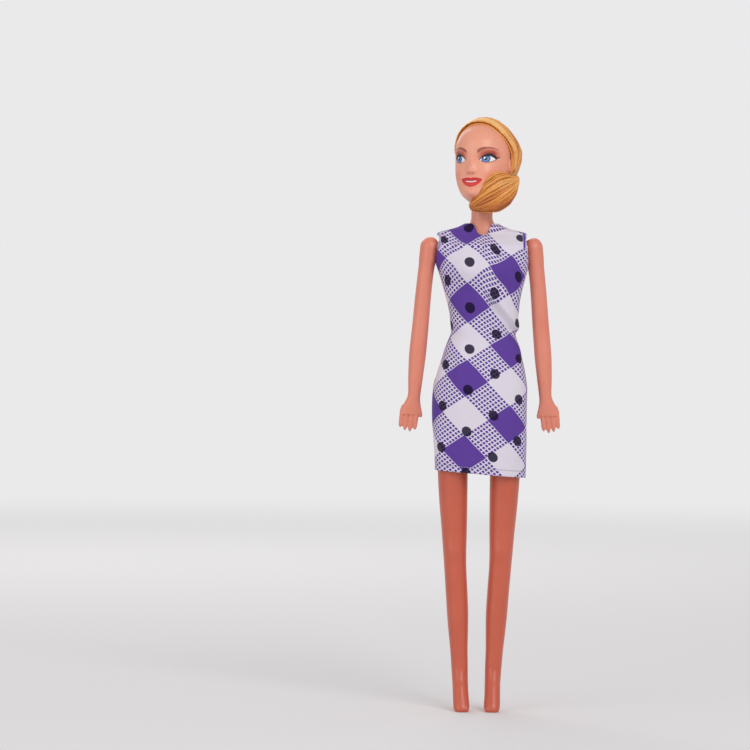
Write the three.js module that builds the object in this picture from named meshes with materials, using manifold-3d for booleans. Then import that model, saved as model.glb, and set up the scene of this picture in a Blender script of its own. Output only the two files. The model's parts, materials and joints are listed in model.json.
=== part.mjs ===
import * as THREE from 'three';
import { mergeVertices } from 'three/addons/utils/BufferGeometryUtils.js';
import Module from 'manifold-3d';

// A fashion doll on pointed toes, in a sleeveless sheath dress, with her head turned to her right.
// Millimetres, +Z up. She looks along -Y and her left side is +X.

const wasm = await Module();
wasm.setup();

// Lengths up the body and down the arm
const legLength = 131;
const torsoLength = 69.3;
const neckRise = 16.7;
const headHeight = 38.7;
const armLength = 64;
const palmLength = 8;
const fingerLength = 7.6;
const headTurn = THREE.MathUtils.degToRad(-25);

// Girths of the bare torso: half width, depth to the front and to the back, and how square the section is
const hip = { halfWidth: 17.4, front: 9.4, back: 10.4, squareness: 2.3 };
const waist = { halfWidth: 10.2, front: 7.6, back: 7.2, squareness: 2.2 };
const bust = { halfWidth: 16.4, front: 11, back: 9.2, squareness: 2.3 };
const shoulder = { halfWidth: 20.5, front: 8.2, back: 8, squareness: 2.6 };
const shoulderTip = { halfWidth: 18.6, front: 5.2, back: 4.8, squareness: 2.3 };
const neckRadius = 4.6;
const bustProjection = 2.6;
const bustSpread = 4.2;
const bustSpacingShare = 0.435;
const shellWall = 1.4;

// Ease of the dress over the bare body, and the dress's own sizes
const hipEase = { halfWidth: 2.2, front: 2.6, back: 2, squareness: 0.6 };
const waistEase = { halfWidth: 2.7, front: 1.4, back: 1.6, squareness: 0.1 };
const bustEase = { halfWidth: 2, front: 1.6, back: 1.2, squareness: 0.1 };
const shoulderEase = { halfWidth: 0.8, front: 2.6, back: 1.4, squareness: 0 };
const hem = { halfWidth: 18.6, front: 10.8, back: 10.8, squareness: 2.9 };
const skirtLength = 28.4;
const hemTiltShare = 0.077;
const waistDrift = 1.6;
const clothThickness = 0.6;
const clothGap = 0.4;
const neckline = { halfWidth: 5.5, front: 6.7, back: 5.4 };
const armholeEase = 1;
const foldHeight = 0.9;
const foldSpread = 2.2;
const pleatHeight = 0.5;
const closureOverlap = 2;
const closureLength = 62;
const closureRise = 3;
const tapeWidth = 2.8;
const tapeThickness = 0.5;
const tapeGap = 0.2;

// Shoulder joint
const shoulderFace = 17.9;
const shoulderCapRadius = 4.9;
const sideGap = 0.5;

// Arm, at its upper half, and hand
const arm = { halfWidth: 3.6, halfDepth: 4.3 };
const armThickness = 8.2;
const armSplay = 6;
const palm = { halfWidth: 4.4, halfDepth: 1.6 };
const handSplay = THREE.MathUtils.degToRad(13);
const fingerRadius = 1.15;
const thumbLength = 8;
const limbSquareness = 2.1;

// Hip joint and leg
const hipDiscRadius = 10.5;
const hipDiscProud = 0.6;
const hipWebHalfWidth = 4.2;
const hipGap = 0.4;
const discRoundShare = 0.55;
const discEdgeShare = 0.62;
const legConvergence = 4.85;
const footReach = 8.1;

// Snap studs and neck knob
const studRadius = 2.1;
const studHeadRadius = 3;
const studHeadLength = 2;
const studPocketDepth = 3.4;
const studGap = 0.35;
const knobStemRadius = 2.2;
const knobHeadLength = 2.8;
const knobFlangeRadius = 2.9;
const knobFlangeLength = 1.9;
const neckPlate = 1.6;
const seamGap = 0.3;

// Head and hair
const skull = { halfWidth: 12.3, halfDepth: 15, halfHeight: 15, setback: 2.4 };
const faceDepth = 12.9;
const headSquareness = 2.05;
const headWall = 1.2;
const noseHeight = 2.1;
const noseSpread = 1.6;
const lipHeight = 0.9;
const socketDepth = 0.9;
const ear = { thickness: 1.1, halfDepth: 2, halfHeight: 3.4 };
const hairThickness = 1.3;
const hairRidge = 0.3;
const hairGap = 0.35;
const tailRadius = 4.2;
const bandWire = 0.55;

// Facets
const torsoSides = 28;
const dressSides = 32;
const limbSides = 14;
const headSides = 34;
const roundSides = 16;
const fingerSides = 6;
const tailSides = 18;
const hairRidges = 20;

// How far a cutting body runs past what it cuts
const overrun = 40;

// Worked out from the sizes above, the heights from the toes
const knobHeadRadius = neckRadius - headWall - studGap;
const hipDiscWidth = hip.halfWidth + hipDiscProud - hipWebHalfWidth - hipGap;
const hipAxisHeight = legLength;
const shoulderAxisHeight = hipAxisHeight + torsoLength;
const neckTopHeight = shoulderAxisHeight + neckRise;
const headBaseHeight = neckTopHeight + seamGap;
const crownHeight = headBaseHeight + headHeight;
const hemHeight = hipAxisHeight - skirtLength;

// The torso's stations. Place 0 is the hip axis, 1 the shoulder axis and 2 the top of the neck. Lift says
// how far an offset surface moves up there, and the rest are the shares of each girth in the section.
const torsoShares = [
  // place, lift, hip, waist, bust, shoulder, tip, neck
  [-0.144, -1, 0.4, 0, 0, 0, 0, 0],
  [-0.125, -0.8, 0.62, 0, 0, 0, 0, 0],
  [-0.07, 0, 0.9, 0, 0, 0, 0, 0],
  [0, 0, 1, 0, 0, 0, 0, 0],
  [0.12, 0, 0.97, 0.03, 0, 0, 0, 0],
  [0.2, 0, 0.83, 0.17, 0, 0, 0, 0],
  [0.346, 0, 0.42, 0.58, 0, 0, 0, 0],
  [0.49, 0, 0, 1, 0, 0, 0, 0],
  [0.635, 0, 0, 0.74, 0.26, 0, 0, 0],
  [0.736, 0, 0, 0.45, 0.55, 0, 0, 0],
  [0.866, 0, 0, 0, 1, 0, 0, 0],
  [0.925, 0, 0, 0, 0.5, 0.5, 0, 0],
  [1, 0, 0, 0, 0, 1, 0, 0],
  [1.18, 0.3, 0, 0, 0, 0.5, 0.5, 0],
  [1.341, 1, 0, 0, 0, 0, 1, 0],
  [1.401, 1, 0, 0, 0, 0, 0.71, 0.29],
  [1.485, 1, 0, 0, 0, 0, 0.36, 0.64],
  [1.58, 1, 0, 0, 0, 0, 0.14, 0.86],
  [1.7, 0.6, 0, 0, 0, 0, 0.03, 0.97],
  [1.79, 0, 0, 0, 0, 0, 0, 1],
  [2, 0, 0, 0, 0, 0, 0, 1],
];
const hipPlaceShare = 0;
const bustPlaceShare = 0.866;
const waistPlaceShare = 0.49;
const dressTopShare = 1.58;

// The arm from the shoulder axis (0) to the wrist (1): drop, splay, then shares of its half width and depth
const armShares = [
  [0, 0, 1.17, 1.12],
  [0.063, 0.08, 1.14, 1.1],
  [0.125, 0.21, 0.98, 1.04],
  [0.22, 0.33, 0.96, 0.98],
  [0.34, 0.45, 0.97, 0.93],
  [0.52, 0.6, 1, 0.87],
  [0.7, 0.77, 1.03, 0.88],
  [0.875, 0.91, 0.9, 0.72],
  [1, 1, 0.76, 0.53],
];
// The palm from the wrist (0) to the knuckles (1): drop, then how far the section has become the palm's
const palmShares = [[0.3, 0.25], [0.65, 0.85], [0.9, 1], [1, 0.9]];
// Fingers from the little finger to the index: length, and place across the palm's half width
const fingerShares = [[0.76, 0.74], [0.93, 0.26], [1, -0.24], [0.9, -0.72]];
// One finger from its root (0) to its tip (1): place, and share of its radius
const fingertipShares = [[0, 0.9], [0.3, 1], [0.85, 0.82], [1, 0.35]];

// The leg from the hip axis (0) to the toes (1): drop, how far it has closed in, half width and half depth
// as shares of the hip disc's, and reach of the section's middle as a share of the foot's
const legShares = [
  [0, 0, 1, 0.97, 0],
  [0.046, 0, 1, 0.96, 0],
  [0.092, 0, 1, 0.91, 0],
  [0.16, -0.01, 0.99, 0.83, 0],
  [0.217, 0, 0.97, 0.77, 0],
  [0.313, 0.08, 0.91, 0.69, 0],
  [0.405, 0.19, 0.82, 0.6, 0],
  [0.481, 0.26, 0.75, 0.55, 0.04],
  [0.527, 0.32, 0.72, 0.5, 0.02],
  [0.588, 0.43, 0.71, 0.51, -0.05],
  [0.664, 0.56, 0.7, 0.52, -0.09],
  [0.74, 0.66, 0.64, 0.46, -0.07],
  [0.8, 0.74, 0.57, 0.39, -0.05],
  [0.857, 0.82, 0.54, 0.37, -0.06],
  [0.893, 0.86, 0.52, 0.45, -0.02],
  [0.916, 0.89, 0.51, 0.49, 0.15],
  [0.939, 0.91, 0.51, 0.42, 0.44],
  [0.962, 0.94, 0.52, 0.35, 0.72],
  [0.981, 0.97, 0.53, 0.32, 0.91],
  [0.994, 0.99, 0.49, 0.3, 0.99],
  [1, 1, 0.42, 0.25, 1],
];

// The head from its underside (0) to the crown (1): place, lift, then shares of the neck's radius, of the
// skull's half width, of the face's depth and of the skull's depth to the back
const headShares = [
  [0, -1, 1, 0, 0, 0],
  [0.055, -1, 1, 0.01, 0.02, 0.02],
  [0.09, -0.9, 0.5, 0.27, 0.44, 0.21],
  [0.121, -0.7, 0.2, 0.46, 0.78, 0.36],
  [0.152, -0.4, 0, 0.61, 0.96, 0.48],
  [0.205, 0, 0, 0.73, 0.99, 0.6],
  [0.284, 0, 0, 0.86, 0.98, 0.74],
  [0.406, 0, 0, 0.97, 0.96, 0.9],
  [0.543, 0, 0, 1, 0.94, 0.98],
  [0.612, 0, 0, 1, 0.955, 1],
  [0.716, 0.2, 0, 0.965, 0.945, 0.97],
  [0.819, 0.5, 0, 0.846, 0.82, 0.87],
  [0.897, 0.8, 0, 0.68, 0.6, 0.73],
  [0.961, 1, 0, 0.436, 0.3, 0.51],
  [0.988, 1, 0, 0.24, 0.03, 0.35],
  [1, 1, 0, 0.03, -0.16, 0.16],
];
// Heights of the head's rings, closest together at the mouth and nose
const faceHeightShares = [0, 0.05, 0.085, 0.12, 0.15, 0.185, 0.22, 0.255, 0.285, 0.32, 0.36, 0.4, 0.43,
  0.48, 0.54, 0.61, 0.69, 0.77, 0.84, 0.9, 0.95, 0.985, 1];
const eyePlaceShare = 0.543;
const nosePlaceShare = 0.41;
const mouthPlaceShare = 0.284;
const chinPlaceShare = 0.18;
const skullPlaceShare = 0.612;
const eyeOutShare = 0.4;
const cheekOutShare = 0.55;
const earPlaceShare = 0.49;

// The hairline, seen from the side: place up the head, and reach as a share of the face's depth (front is -1)
const hairlineShares = [
  [1, -1.4],
  [0.943, -0.42],
  [0.855, -0.31],
  [0.742, -0.08],
  [0.602, 0.1],
  [0.509, 0.1],
  [0.4, 0.12],
  [0.3, 0.36],
  [0.173, 0.62],
  [-0.1, 0.7],
];
// The gathered hair's way from the elastic, round under the jaw: shares of the skull's half width (left is
// +1) and of the face's depth (front is -1), place up the head, and shares of its width and thickness
const tailShares = [
  [0.89, 0.115, 0.361, 0.42, 0.42],
  [1.05, 0.125, 0.34, 0.42, 0.42],
  [1.165, 0.12, 0.32, 0.53, 0.52],
  [1.08, -0.09, 0.235, 0.85, 0.7],
  [0.919, -0.357, 0.152, 1, 0.78],
  [0.675, -0.558, 0.085, 0.98, 0.7],
  [0.374, -0.659, 0.041, 0.8, 0.58],
  [0.065, -0.69, 0.016, 0.5, 0.42],
  [-0.163, -0.68, 0.005, 0.18, 0.16],
];
const hairRootShares = [-0.9, 0.06, 0.36];
const hairGatherShares = [0.9, 0.12, 0.36];

// Finishes
const skinFinish = { color: 0xd99a7c, roughness: 0.42 };
const armFinish = { color: 0xd98a6c, roughness: 0.42 };
const legFinish = { color: 0xcf7458, roughness: 0.38 };
const hairFinish = { color: 0xd9883c, roughness: 0.5 };
const bandFinish = { color: 0xd8a868, roughness: 0.7 };
const clothFinish = { color: 0xb9a3cf, roughness: 0.85 };
const tapeFinish = { color: 0xf2f0ee, roughness: 0.9 };
const studFinish = { color: 0xe8ded2, roughness: 0.45 };

/** Value of smooth curves through rows of [place, value, ...] at one place, without overshoot. */
function follow(rows, place) {
  const last = rows.length - 1;
  if (place <= rows[0][0]) return rows[0].slice(1);
  if (place >= rows[last][0]) return rows[last].slice(1);
  let index = 0;
  while (rows[index + 1][0] < place) index += 1;
  const span = rows[index + 1][0] - rows[index][0];
  const along = (place - rows[index][0]) / span;
  return rows[index].slice(1).map((value, column) => {
    const here = slopeAt(rows, index, column + 1) * span;
    const there = slopeAt(rows, index + 1, column + 1) * span;
    const step = rows[index + 1][column + 1] - value;
    const bend = here + there - 2 * step;
    return value + along * (here + along * (3 * step - 2 * here - there + along * bend));
  });
}

/** Slope of one column at a row: flat at a peak, and otherwise between its neighbours' slopes. */
function slopeAt(rows, index, column) {
  const rise = (from) => (rows[from + 1][column] - rows[from][column]) / (rows[from + 1][0] - rows[from][0]);
  if (index === 0) return rise(0);
  if (index === rows.length - 1) return rise(index - 1);
  const before = rise(index - 1);
  const after = rise(index);
  return before * after <= 0 ? 0 : (2 * before * after) / (before + after);
}

/** A bell from 1 at zero distance, for soft bumps and hollows. */
function bell(distance, spread) {
  return Math.exp(-((distance / spread) ** 2));
}

/** Evenly spaced steps from one value to another, both included. */
function steps(from, to, count) {
  return Array.from({ length: count + 1 }, (_, index) => from + ((to - from) * index) / count);
}

/** Turns round a section, closer together at the front where the crowding is above zero. */
function turnsRound(sides, crowding) {
  return steps(0, 2 * Math.PI, sides).slice(0, -1).map((turn) => turn - crowding * Math.sin(turn));
}

/** A point of a rounded section; turn 0 is the front and a quarter turn the left side. */
function sectionPoint(turn, halfWidth, front, back, squareness) {
  const across = Math.sin(turn);
  const ahead = Math.cos(turn);
  const power = 2 / squareness;
  const middle = (back - front) / 2;
  const reach = (back + front) / 2;
  return [
    halfWidth * Math.sign(across) * Math.abs(across) ** power,
    middle - reach * Math.sign(ahead) * Math.abs(ahead) ** power,
  ];
}

/** A manifold solid from corner positions and faces, with its faces turned outward. */
function solidFrom(points, faces) {
  let volume = 0;
  for (let index = 0; index < faces.length; index += 3) {
    const [a, b, c] = [points[faces[index]], points[faces[index + 1]], points[faces[index + 2]]];
    volume += a.dot(b.clone().cross(c));
  }
  const triVerts = Uint32Array.from(volume < 0 ? faces.slice().reverse() : faces);
  const vertProperties = Float32Array.from(points.flatMap((point) => point.toArray()));
  return new wasm.Manifold(new wasm.Mesh({ numProp: 3, vertProperties, triVerts }));
}

/** A closed body through rings of points, with both ends capped. */
function ringBody(rings) {
  const sides = rings[0].length;
  const points = rings.flat();
  const faces = [];
  for (let ring = 0; ring + 1 < rings.length; ring += 1) {
    for (let side = 0; side < sides; side += 1) {
      const here = ring * sides + side;
      const next = ring * sides + ((side + 1) % sides);
      faces.push(here, next, next + sides, here, next + sides, here + sides);
    }
  }
  const lastRing = (rings.length - 1) * sides;
  for (const [start, flip] of [[0, true], [lastRing, false]]) {
    const ends = points.slice(start, start + sides);
    const middle = ends.reduce((sum, point) => sum.add(point), new THREE.Vector3()).divideScalar(sides);
    points.push(middle);
    for (let side = 0; side < sides; side += 1) {
      const here = start + side;
      const next = start + ((side + 1) % sides);
      faces.push(points.length - 1, flip ? next : here, flip ? here : next);
    }
  }
  return solidFrom(points, faces);
}

/** A closed three.js geometry as a solid, without the faces that have shrunk to a line. */
function solidOf(geometry) {
  geometry.deleteAttribute('normal');
  geometry.deleteAttribute('uv');
  const merged = mergeVertices(geometry);
  const corners = merged.attributes.position;
  const points = Array.from({ length: corners.count }, (_, index) =>
    new THREE.Vector3().fromBufferAttribute(corners, index));
  const faces = [];
  for (let index = 0; index < merged.index.count; index += 3) {
    const [a, b, c] = [0, 1, 2].map((corner) => merged.index.getX(index + corner));
    if (a !== b && b !== c && c !== a) faces.push(a, b, c);
  }
  return solidFrom(points, faces);
}

/** A box between two corners. */
function block(low, high) {
  const size = high.map((value, axis) => value - low[axis]);
  const middle = high.map((value, axis) => (value + low[axis]) / 2);
  return solidOf(new THREE.BoxGeometry(...size).translate(...middle));
}

/** A body turned round the X axis, moved to a middle point, from [distance along X, radius] pairs. */
function turnedAlongX(profile, side, middle) {
  const points = profile.map(([along, radius]) => new THREE.Vector2(radius, along));
  const geometry = new THREE.LatheGeometry(points, roundSides).rotateZ(-Math.PI / 2);
  if (side < 0) geometry.rotateY(Math.PI);
  return solidOf(geometry.translate(...middle));
}

/** A body turned round the Z axis from [height, radius] pairs. */
function turnedAlongZ(profile) {
  const points = profile.map(([height, radius]) => new THREE.Vector2(radius, height));
  return solidOf(new THREE.LatheGeometry(points, roundSides).rotateX(Math.PI / 2));
}

/** A plain rod of one radius along X on the given side, between two distances from the middle plane. */
function rodAlongX(radius, from, to, side, height) {
  return turnedAlongX([[from, 0], [from, radius], [to, radius], [to, 0]], side, [0, 0, height]);
}

/** Adds one named piece to its group. */
function addPiece(group, name, solid, finish) {
  const mesh = solid.getMesh();
  const geometry = new THREE.BufferGeometry();
  geometry.setAttribute('position', new THREE.BufferAttribute(Float32Array.from(mesh.vertProperties), 3));
  geometry.setIndex(Array.from(mesh.triVerts));
  geometry.computeVertexNormals();
  const piece = new THREE.Mesh(geometry, new THREE.MeshStandardMaterial({ metalness: 0, ...finish }));
  piece.name = name;
  group.add(piece);
}

// Body stations

/** Height of a place up the torso and neck. */
function torsoHeight(place) {
  return place <= 1
    ? hipAxisHeight + place * torsoLength
    : shoulderAxisHeight + (place - 1) * neckRise;
}

/** Rows of [height, half width, front, back, squareness] for a body or garment, standing off by an offset. */
function stationRows(girths, shares, offset) {
  return shares.map(([place, lift, ...weights]) => {
    const total = weights.reduce((sum, weight) => sum + weight, 0);
    const blend = (key) => girths.reduce((sum, girth, index) => sum + girth[key] * weights[index], 0);
    return [
      torsoHeight(place) + lift * offset,
      blend('halfWidth') + offset,
      blend('front') + offset,
      blend('back') + offset,
      blend('squareness') / total,
    ];
  });
}

const neck = { halfWidth: neckRadius, front: neckRadius, back: neckRadius, squareness: 2 };
const bodyGirths = [hip, waist, bust, shoulder, shoulderTip, neck];

/** Forward swell of the two breasts at a point of the chest. */
function bustSwell(x, height, spread) {
  const spacing = bust.halfWidth * bustSpacingShare;
  const across = bell(x - spacing, spread) + bell(x + spacing, spread);
  return bustProjection * across * bell(height - torsoHeight(bustPlaceShare), bustSpread * 1.5);
}

/** Heights for the rings of a body: even steps up to the shoulder axis, then its own stations. */
function ringHeights(rows, low, high, count) {
  const axis = torsoHeight(1);
  const yoke = rows.map(([height]) => height).filter((height) => height > axis && height < high);
  return [...steps(low, axis, count), ...yoke, high];
}

/** The torso's own surface moved outward by an offset, as a closed body up to a height. */
function torsoBody(offset, high, count, sides) {
  const rows = stationRows(bodyGirths, torsoShares, offset);
  const rings = ringHeights(rows, rows[0][0], high, count).map((height) => {
    const [halfWidth, front, back, squareness] = follow(rows, height);
    return turnsRound(sides, 0).map((turn) => {
      const [x, y] = sectionPoint(turn, halfWidth, front, back, squareness);
      const limit = shoulderFace + offset;
      const swell = bustSwell(x, height, bustSpread) * Math.max(0, Math.cos(turn));
      return new THREE.Vector3(THREE.MathUtils.clamp(x, -limit, limit), y - swell, height);
    });
  });
  return ringBody(rings);
}

// Torso

/** The space that a leg's hip disc and swinging thigh need, grown by a wall's thickness. */
function hipSpace(side, growth) {
  const radius = hipDiscRadius + hipGap + growth;
  const inner = hipWebHalfWidth - growth;
  const disc = rodAlongX(radius, inner, overrun, side, hipAxisHeight);
  const x = [side * inner, side * overrun].sort((a, b) => a - b);
  const swing = block([x[0], -overrun, hipAxisHeight - overrun], [x[1], 0, hipAxisHeight + radius]);
  const below = block([x[0], -overrun, hipAxisHeight - overrun], [x[1], overrun, hipAxisHeight]);
  return disc.add(swing).add(below);
}

/** The hollow torso with its sockets, before it is split into two shells. */
function torsoShell() {
  const outside = torsoBody(0, neckTopHeight, 18, torsoSides);
  const cavityTop = neckTopHeight - neckPlate;
  let cavity = torsoBody(-shellWall, cavityTop, 10, torsoSides);
  let shell = outside;
  for (const side of [1, -1]) {
    cavity = cavity.subtract(hipSpace(side, shellWall));
    shell = shell.subtract(hipSpace(side, 0));
  }
  shell = shell.subtract(cavity);
  for (const side of [1, -1]) {
    const bore = studRadius + studGap;
    const wallInside = shoulderFace - shellWall;
    const room = wallInside - studHeadLength - 2 * studGap;
    shell = shell.subtract(rodAlongX(bore, shoulderFace / 2, overrun, side, shoulderAxisHeight));
    shell = shell.subtract(rodAlongX(studHeadRadius + studGap, room, wallInside, side, shoulderAxisHeight));
    shell = shell.subtract(rodAlongX(bore, 0, hipWebHalfWidth * 2, side, hipAxisHeight));
  }
  const neckBore = knobStemRadius + studGap;
  return shell.subtract(turnedAlongZ([
    [cavityTop - neckPlate, 0],
    [cavityTop - neckPlate, neckBore],
    [neckTopHeight + neckPlate, neckBore],
    [neckTopHeight + neckPlate, 0],
  ]));
}

/** Half of a shell in front of or behind the side seams. */
function halfShell(shell, facing, gap) {
  const y = [(facing * gap) / 2, facing * overrun * 2].sort((a, b) => a - b);
  return shell.intersect(block(
    [-overrun * 2, y[0], hipAxisHeight - legLength],
    [overrun * 2, y[1], crownHeight + overrun],
  ));
}

/** Knob trapped in the neck by its flange, over whose head the head snaps. */
function neckKnob() {
  const flangeTop = neckTopHeight - neckPlate - seamGap;
  const headStart = headBaseHeight + headWall + seamGap;
  return turnedAlongZ([
    [flangeTop - knobFlangeLength, 0],
    [flangeTop - knobFlangeLength, knobFlangeRadius],
    [flangeTop, knobFlangeRadius],
    [flangeTop, knobStemRadius],
    [headStart, knobStemRadius],
    [headStart, knobHeadRadius],
    [headStart + knobHeadLength / 3, knobHeadRadius],
    [headStart + knobHeadLength, knobStemRadius / 2],
    [headStart + knobHeadLength, 0],
  ]);
}

/** Snap stud from a limb's pocket through the torso's wall, with its head inside. */
function snapStud(side, limbFace, wallInside, height) {
  const shank = limbFace + studPocketDepth - studGap;
  const headStart = wallInside - studGap;
  return turnedAlongX([
    [shank, 0],
    [shank, studRadius],
    [headStart, studRadius],
    [headStart, studHeadRadius],
    [headStart - studHeadLength / 2, studHeadRadius],
    [headStart - studHeadLength, studRadius],
    [headStart - studHeadLength, 0],
  ], side, [0, 0, height]);
}

/** Room for a stud's shank in a limb, cut in through the limb's face. */
function studPocket(side, limbFace, gap, height) {
  return rodAlongX(studRadius + studGap, limbFace - gap, limbFace + studPocketDepth, side, height);
}

// Arms

const armFace = shoulderFace + sideGap;
const armTopCentre = armFace + armThickness / 2;

/** Rows of [drop, distance out, half width, half depth] from the shoulder axis down to the knuckles. */
function armRows() {
  const down = armShares.map(([drop, splay, width, depth]) => [
    drop * armLength,
    armTopCentre + splay * armSplay,
    width * arm.halfWidth,
    depth * arm.halfDepth,
  ]);
  const wrist = down[down.length - 1];
  const hand = palmShares.map(([drop, share]) => [
    wrist[0] + drop * palmLength,
    wrist[1] + drop * palmLength * Math.tan(handSplay),
    wrist[2] + share * (palm.halfWidth - wrist[2]),
    wrist[3] + share * (palm.halfDepth - wrist[3]),
  ]);
  return [...down, ...hand];
}

/** Inner side of the arm at a distance from the shoulder axis, which every turn of the arm sweeps. */
function armInnerSide(distance) {
  const [out, halfWidth] = follow(armRows(), distance);
  return Math.max(armFace, out - halfWidth);
}

/** One finger or thumb: a tapered rod with a rounded tip, slightly curled to the back. */
function finger(side, root, slant, length) {
  const rings = fingertipShares.map(([share, width]) => {
    const middle = new THREE.Vector3(
      side * (root.x + share * length * Math.sin(slant)),
      root.y + share * share * fingerRadius,
      root.z - share * length * Math.cos(slant),
    );
    return turnsRound(fingerSides, 0).map((turn) => new THREE.Vector3(
      middle.x + width * fingerRadius * Math.sin(turn),
      middle.y - width * fingerRadius * Math.cos(turn),
      middle.z,
    ));
  });
  return ringBody(rings);
}

/** One arm with its hand, the back of the hand to the front. */
function armWithHand(side) {
  const rows = armRows();
  const capRows = steps(-Math.PI / 2, 0, 4).map((angle, index) => {
    const width = index === 0 ? Math.cos(angle + Math.PI / 12) : Math.cos(angle);
    return [shoulderCapRadius * Math.sin(angle), rows[0][1], rows[0][2] * width, rows[0][3] * width];
  }).slice(0, -1);
  const drops = [...steps(0, armLength, 11), ...palmShares.map(([drop]) => armLength + drop * palmLength)];
  const sections = [...capRows, ...drops.map((drop) => [drop, ...follow(rows, drop)])];
  const rings = sections.map(([drop, out, halfWidth, halfDepth]) =>
    turnsRound(limbSides, 0).map((turn) => {
      const [x, y] = sectionPoint(turn, halfWidth, halfDepth, halfDepth, limbSquareness);
      return new THREE.Vector3(side * Math.max(armFace, out + x), y, shoulderAxisHeight - drop);
    }));
  let limb = ringBody(rings);
  const knuckles = rows[rows.length - 1];
  for (const [length, across] of fingerShares) {
    const root = {
      x: knuckles[1] + across * palm.halfWidth,
      y: 0,
      z: shoulderAxisHeight - knuckles[0] + fingerRadius,
    };
    limb = limb.add(finger(side, root, handSplay / 2, length * fingerLength + fingerRadius));
  }
  const thumbRoot = {
    x: knuckles[1] - palm.halfWidth + fingerRadius,
    y: -fingerRadius / 3,
    z: shoulderAxisHeight - armLength - palmLength / 4,
  };
  limb = limb.add(finger(side, thumbRoot, -handSplay, thumbLength));
  return limb.subtract(studPocket(side, armFace, sideGap, shoulderAxisHeight));
}

// Legs

const legFace = hipWebHalfWidth + hipGap;
const legTopCentre = legFace + hipDiscWidth / 2;

/** One leg with its tiptoe foot, cut flat under the ball, and the hip disc that it swings on. */
function legWithFoot(side) {
  const rows = legShares.map(([drop, closing, width, depth, reach]) => [
    drop * legLength,
    legTopCentre - closing * legConvergence,
    width * (hipDiscWidth / 2),
    depth * hipDiscRadius,
    reach * footReach,
  ]);
  const rings = rows.map(([drop, out, halfWidth, halfDepth, reach]) =>
    turnsRound(limbSides, 0).map((turn) => {
      const [x, y] = sectionPoint(turn, halfWidth, halfDepth, halfDepth, limbSquareness);
      return new THREE.Vector3(side * (out + x), y - reach, hipAxisHeight - drop);
    }));
  const discEdge = steps(0, Math.PI / 2, 4).slice(0, -1).map((angle) => [
    legFace + hipDiscWidth * (1 - discRoundShare * (1 - Math.sin(angle))),
    hipDiscRadius * Math.cos(angle) ** discEdgeShare,
  ]);
  const disc = turnedAlongX(
    [[legFace, 0], [legFace, hipDiscRadius], ...discEdge, [legFace + hipDiscWidth, 0]],
    side,
    [0, 0, hipAxisHeight],
  );
  return ringBody(rings).add(disc).subtract(studPocket(side, legFace, hipGap, hipAxisHeight));
}

// Head, in its own frame with the neck's axis as Z and the face to -Y

/** Height of a place up the head. */
function headPlace(place) {
  return headBaseHeight + place * headHeight;
}

/** Forward relief of the face: nose, lips, chin, cheeks and eye sockets. */
function faceRelief(x, height) {
  const across = Math.abs(x);
  const eye = headPlace(eyePlaceShare);
  const nose = headPlace(nosePlaceShare);
  const mouth = headPlace(mouthPlaceShare);
  const bridge = THREE.MathUtils.clamp((eye - height) / (eye - nose), 0, 1);
  const below = height < nose ? bell(height - nose, noseSpread / 2) : 1;
  const noseRise = noseHeight * (height > eye ? 0 : bridge ** 1.5) * below * bell(across, noseSpread);
  const lips = lipHeight * bell(across, noseSpread * 1.9) * bell(height - mouth, noseSpread * 0.9);
  const chin = lipHeight * bell(across, noseSpread * 2)
    * bell(height - headPlace(chinPlaceShare), noseSpread);
  const cheek = (lipHeight * 0.7) * bell(across - skull.halfWidth * cheekOutShare, noseSpread * 2)
    * bell(height - (nose + mouth) / 2, noseSpread * 2.2);
  const socket = socketDepth * bell(across - skull.halfWidth * eyeOutShare, noseSpread * 1.7)
    * bell(height - eye, noseSpread * 1.3);
  return noseRise + lips + chin + cheek - socket;
}

/** The head's surface moved outward by an offset, as a closed body. */
function headBody(offset, sides, heightShares, relief) {
  const rows = headShares.map(([place, lift, neckShare, widthShare, frontShare, backShare]) => [
    headPlace(place) + lift * offset,
    neckShare * neckRadius + widthShare * skull.halfWidth + offset,
    neckShare * neckRadius + frontShare * faceDepth + offset,
    neckShare * neckRadius + backShare * (skull.halfDepth + skull.setback) + offset,
  ]);
  const low = rows[0][0];
  const high = rows[rows.length - 1][0];
  const rings = heightShares.map((share) => {
    const height = low + share * (high - low);
    const [halfWidth, front, back] = follow(rows, height);
    return turnsRound(sides, relief ? 0.4 : 0).map((turn) => {
      const [x, y] = sectionPoint(turn, halfWidth, front, back, headSquareness);
      const forward = relief ? faceRelief(x, height) * Math.max(0, Math.cos(turn)) : 0;
      return new THREE.Vector3(x, y - forward, height);
    });
  });
  return ringBody(rings);
}

/** Both ears, grown by an offset. */
function ears(offset) {
  const shape = (side) => solidOf(new THREE.SphereGeometry(1, 10, 8)
    .scale(ear.thickness + offset, ear.halfDepth + offset, ear.halfHeight + offset)
    .rotateX(-0.2)
    .translate(side * (skull.halfWidth - ear.thickness / 4), skull.setback, headPlace(earPlaceShare)));
  return shape(1).add(shape(-1));
}

/** Hollow soft head with the neck hole in its underside. */
function headShell() {
  const plain = steps(0, 1, 12);
  const outside = headBody(0, headSides, faceHeightShares, true).add(ears(0));
  const hole = knobStemRadius + studGap;
  const floor = headBaseHeight + headWall;
  const inside = headBody(-headWall, roundSides, plain, false)
    .intersect(block([-overrun, -overrun, floor], [overrun, overrun, crownHeight]));
  const bore = turnedAlongZ([
    [headBaseHeight - headWall, 0],
    [headBaseHeight - headWall, hole],
    [floor + headWall, hole],
    [floor + headWall, 0],
  ]);
  return outside.subtract(inside).subtract(bore);
}

// Hair

const skullMiddle = new THREE.Vector3(0, skull.setback, headPlace(skullPlaceShare));

/** A point given as shares of the skull's half width, the face's depth and the head's height. */
function headPoint([across, ahead, place]) {
  return new THREE.Vector3(across * skull.halfWidth, ahead * faceDepth, headPlace(place));
}

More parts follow.
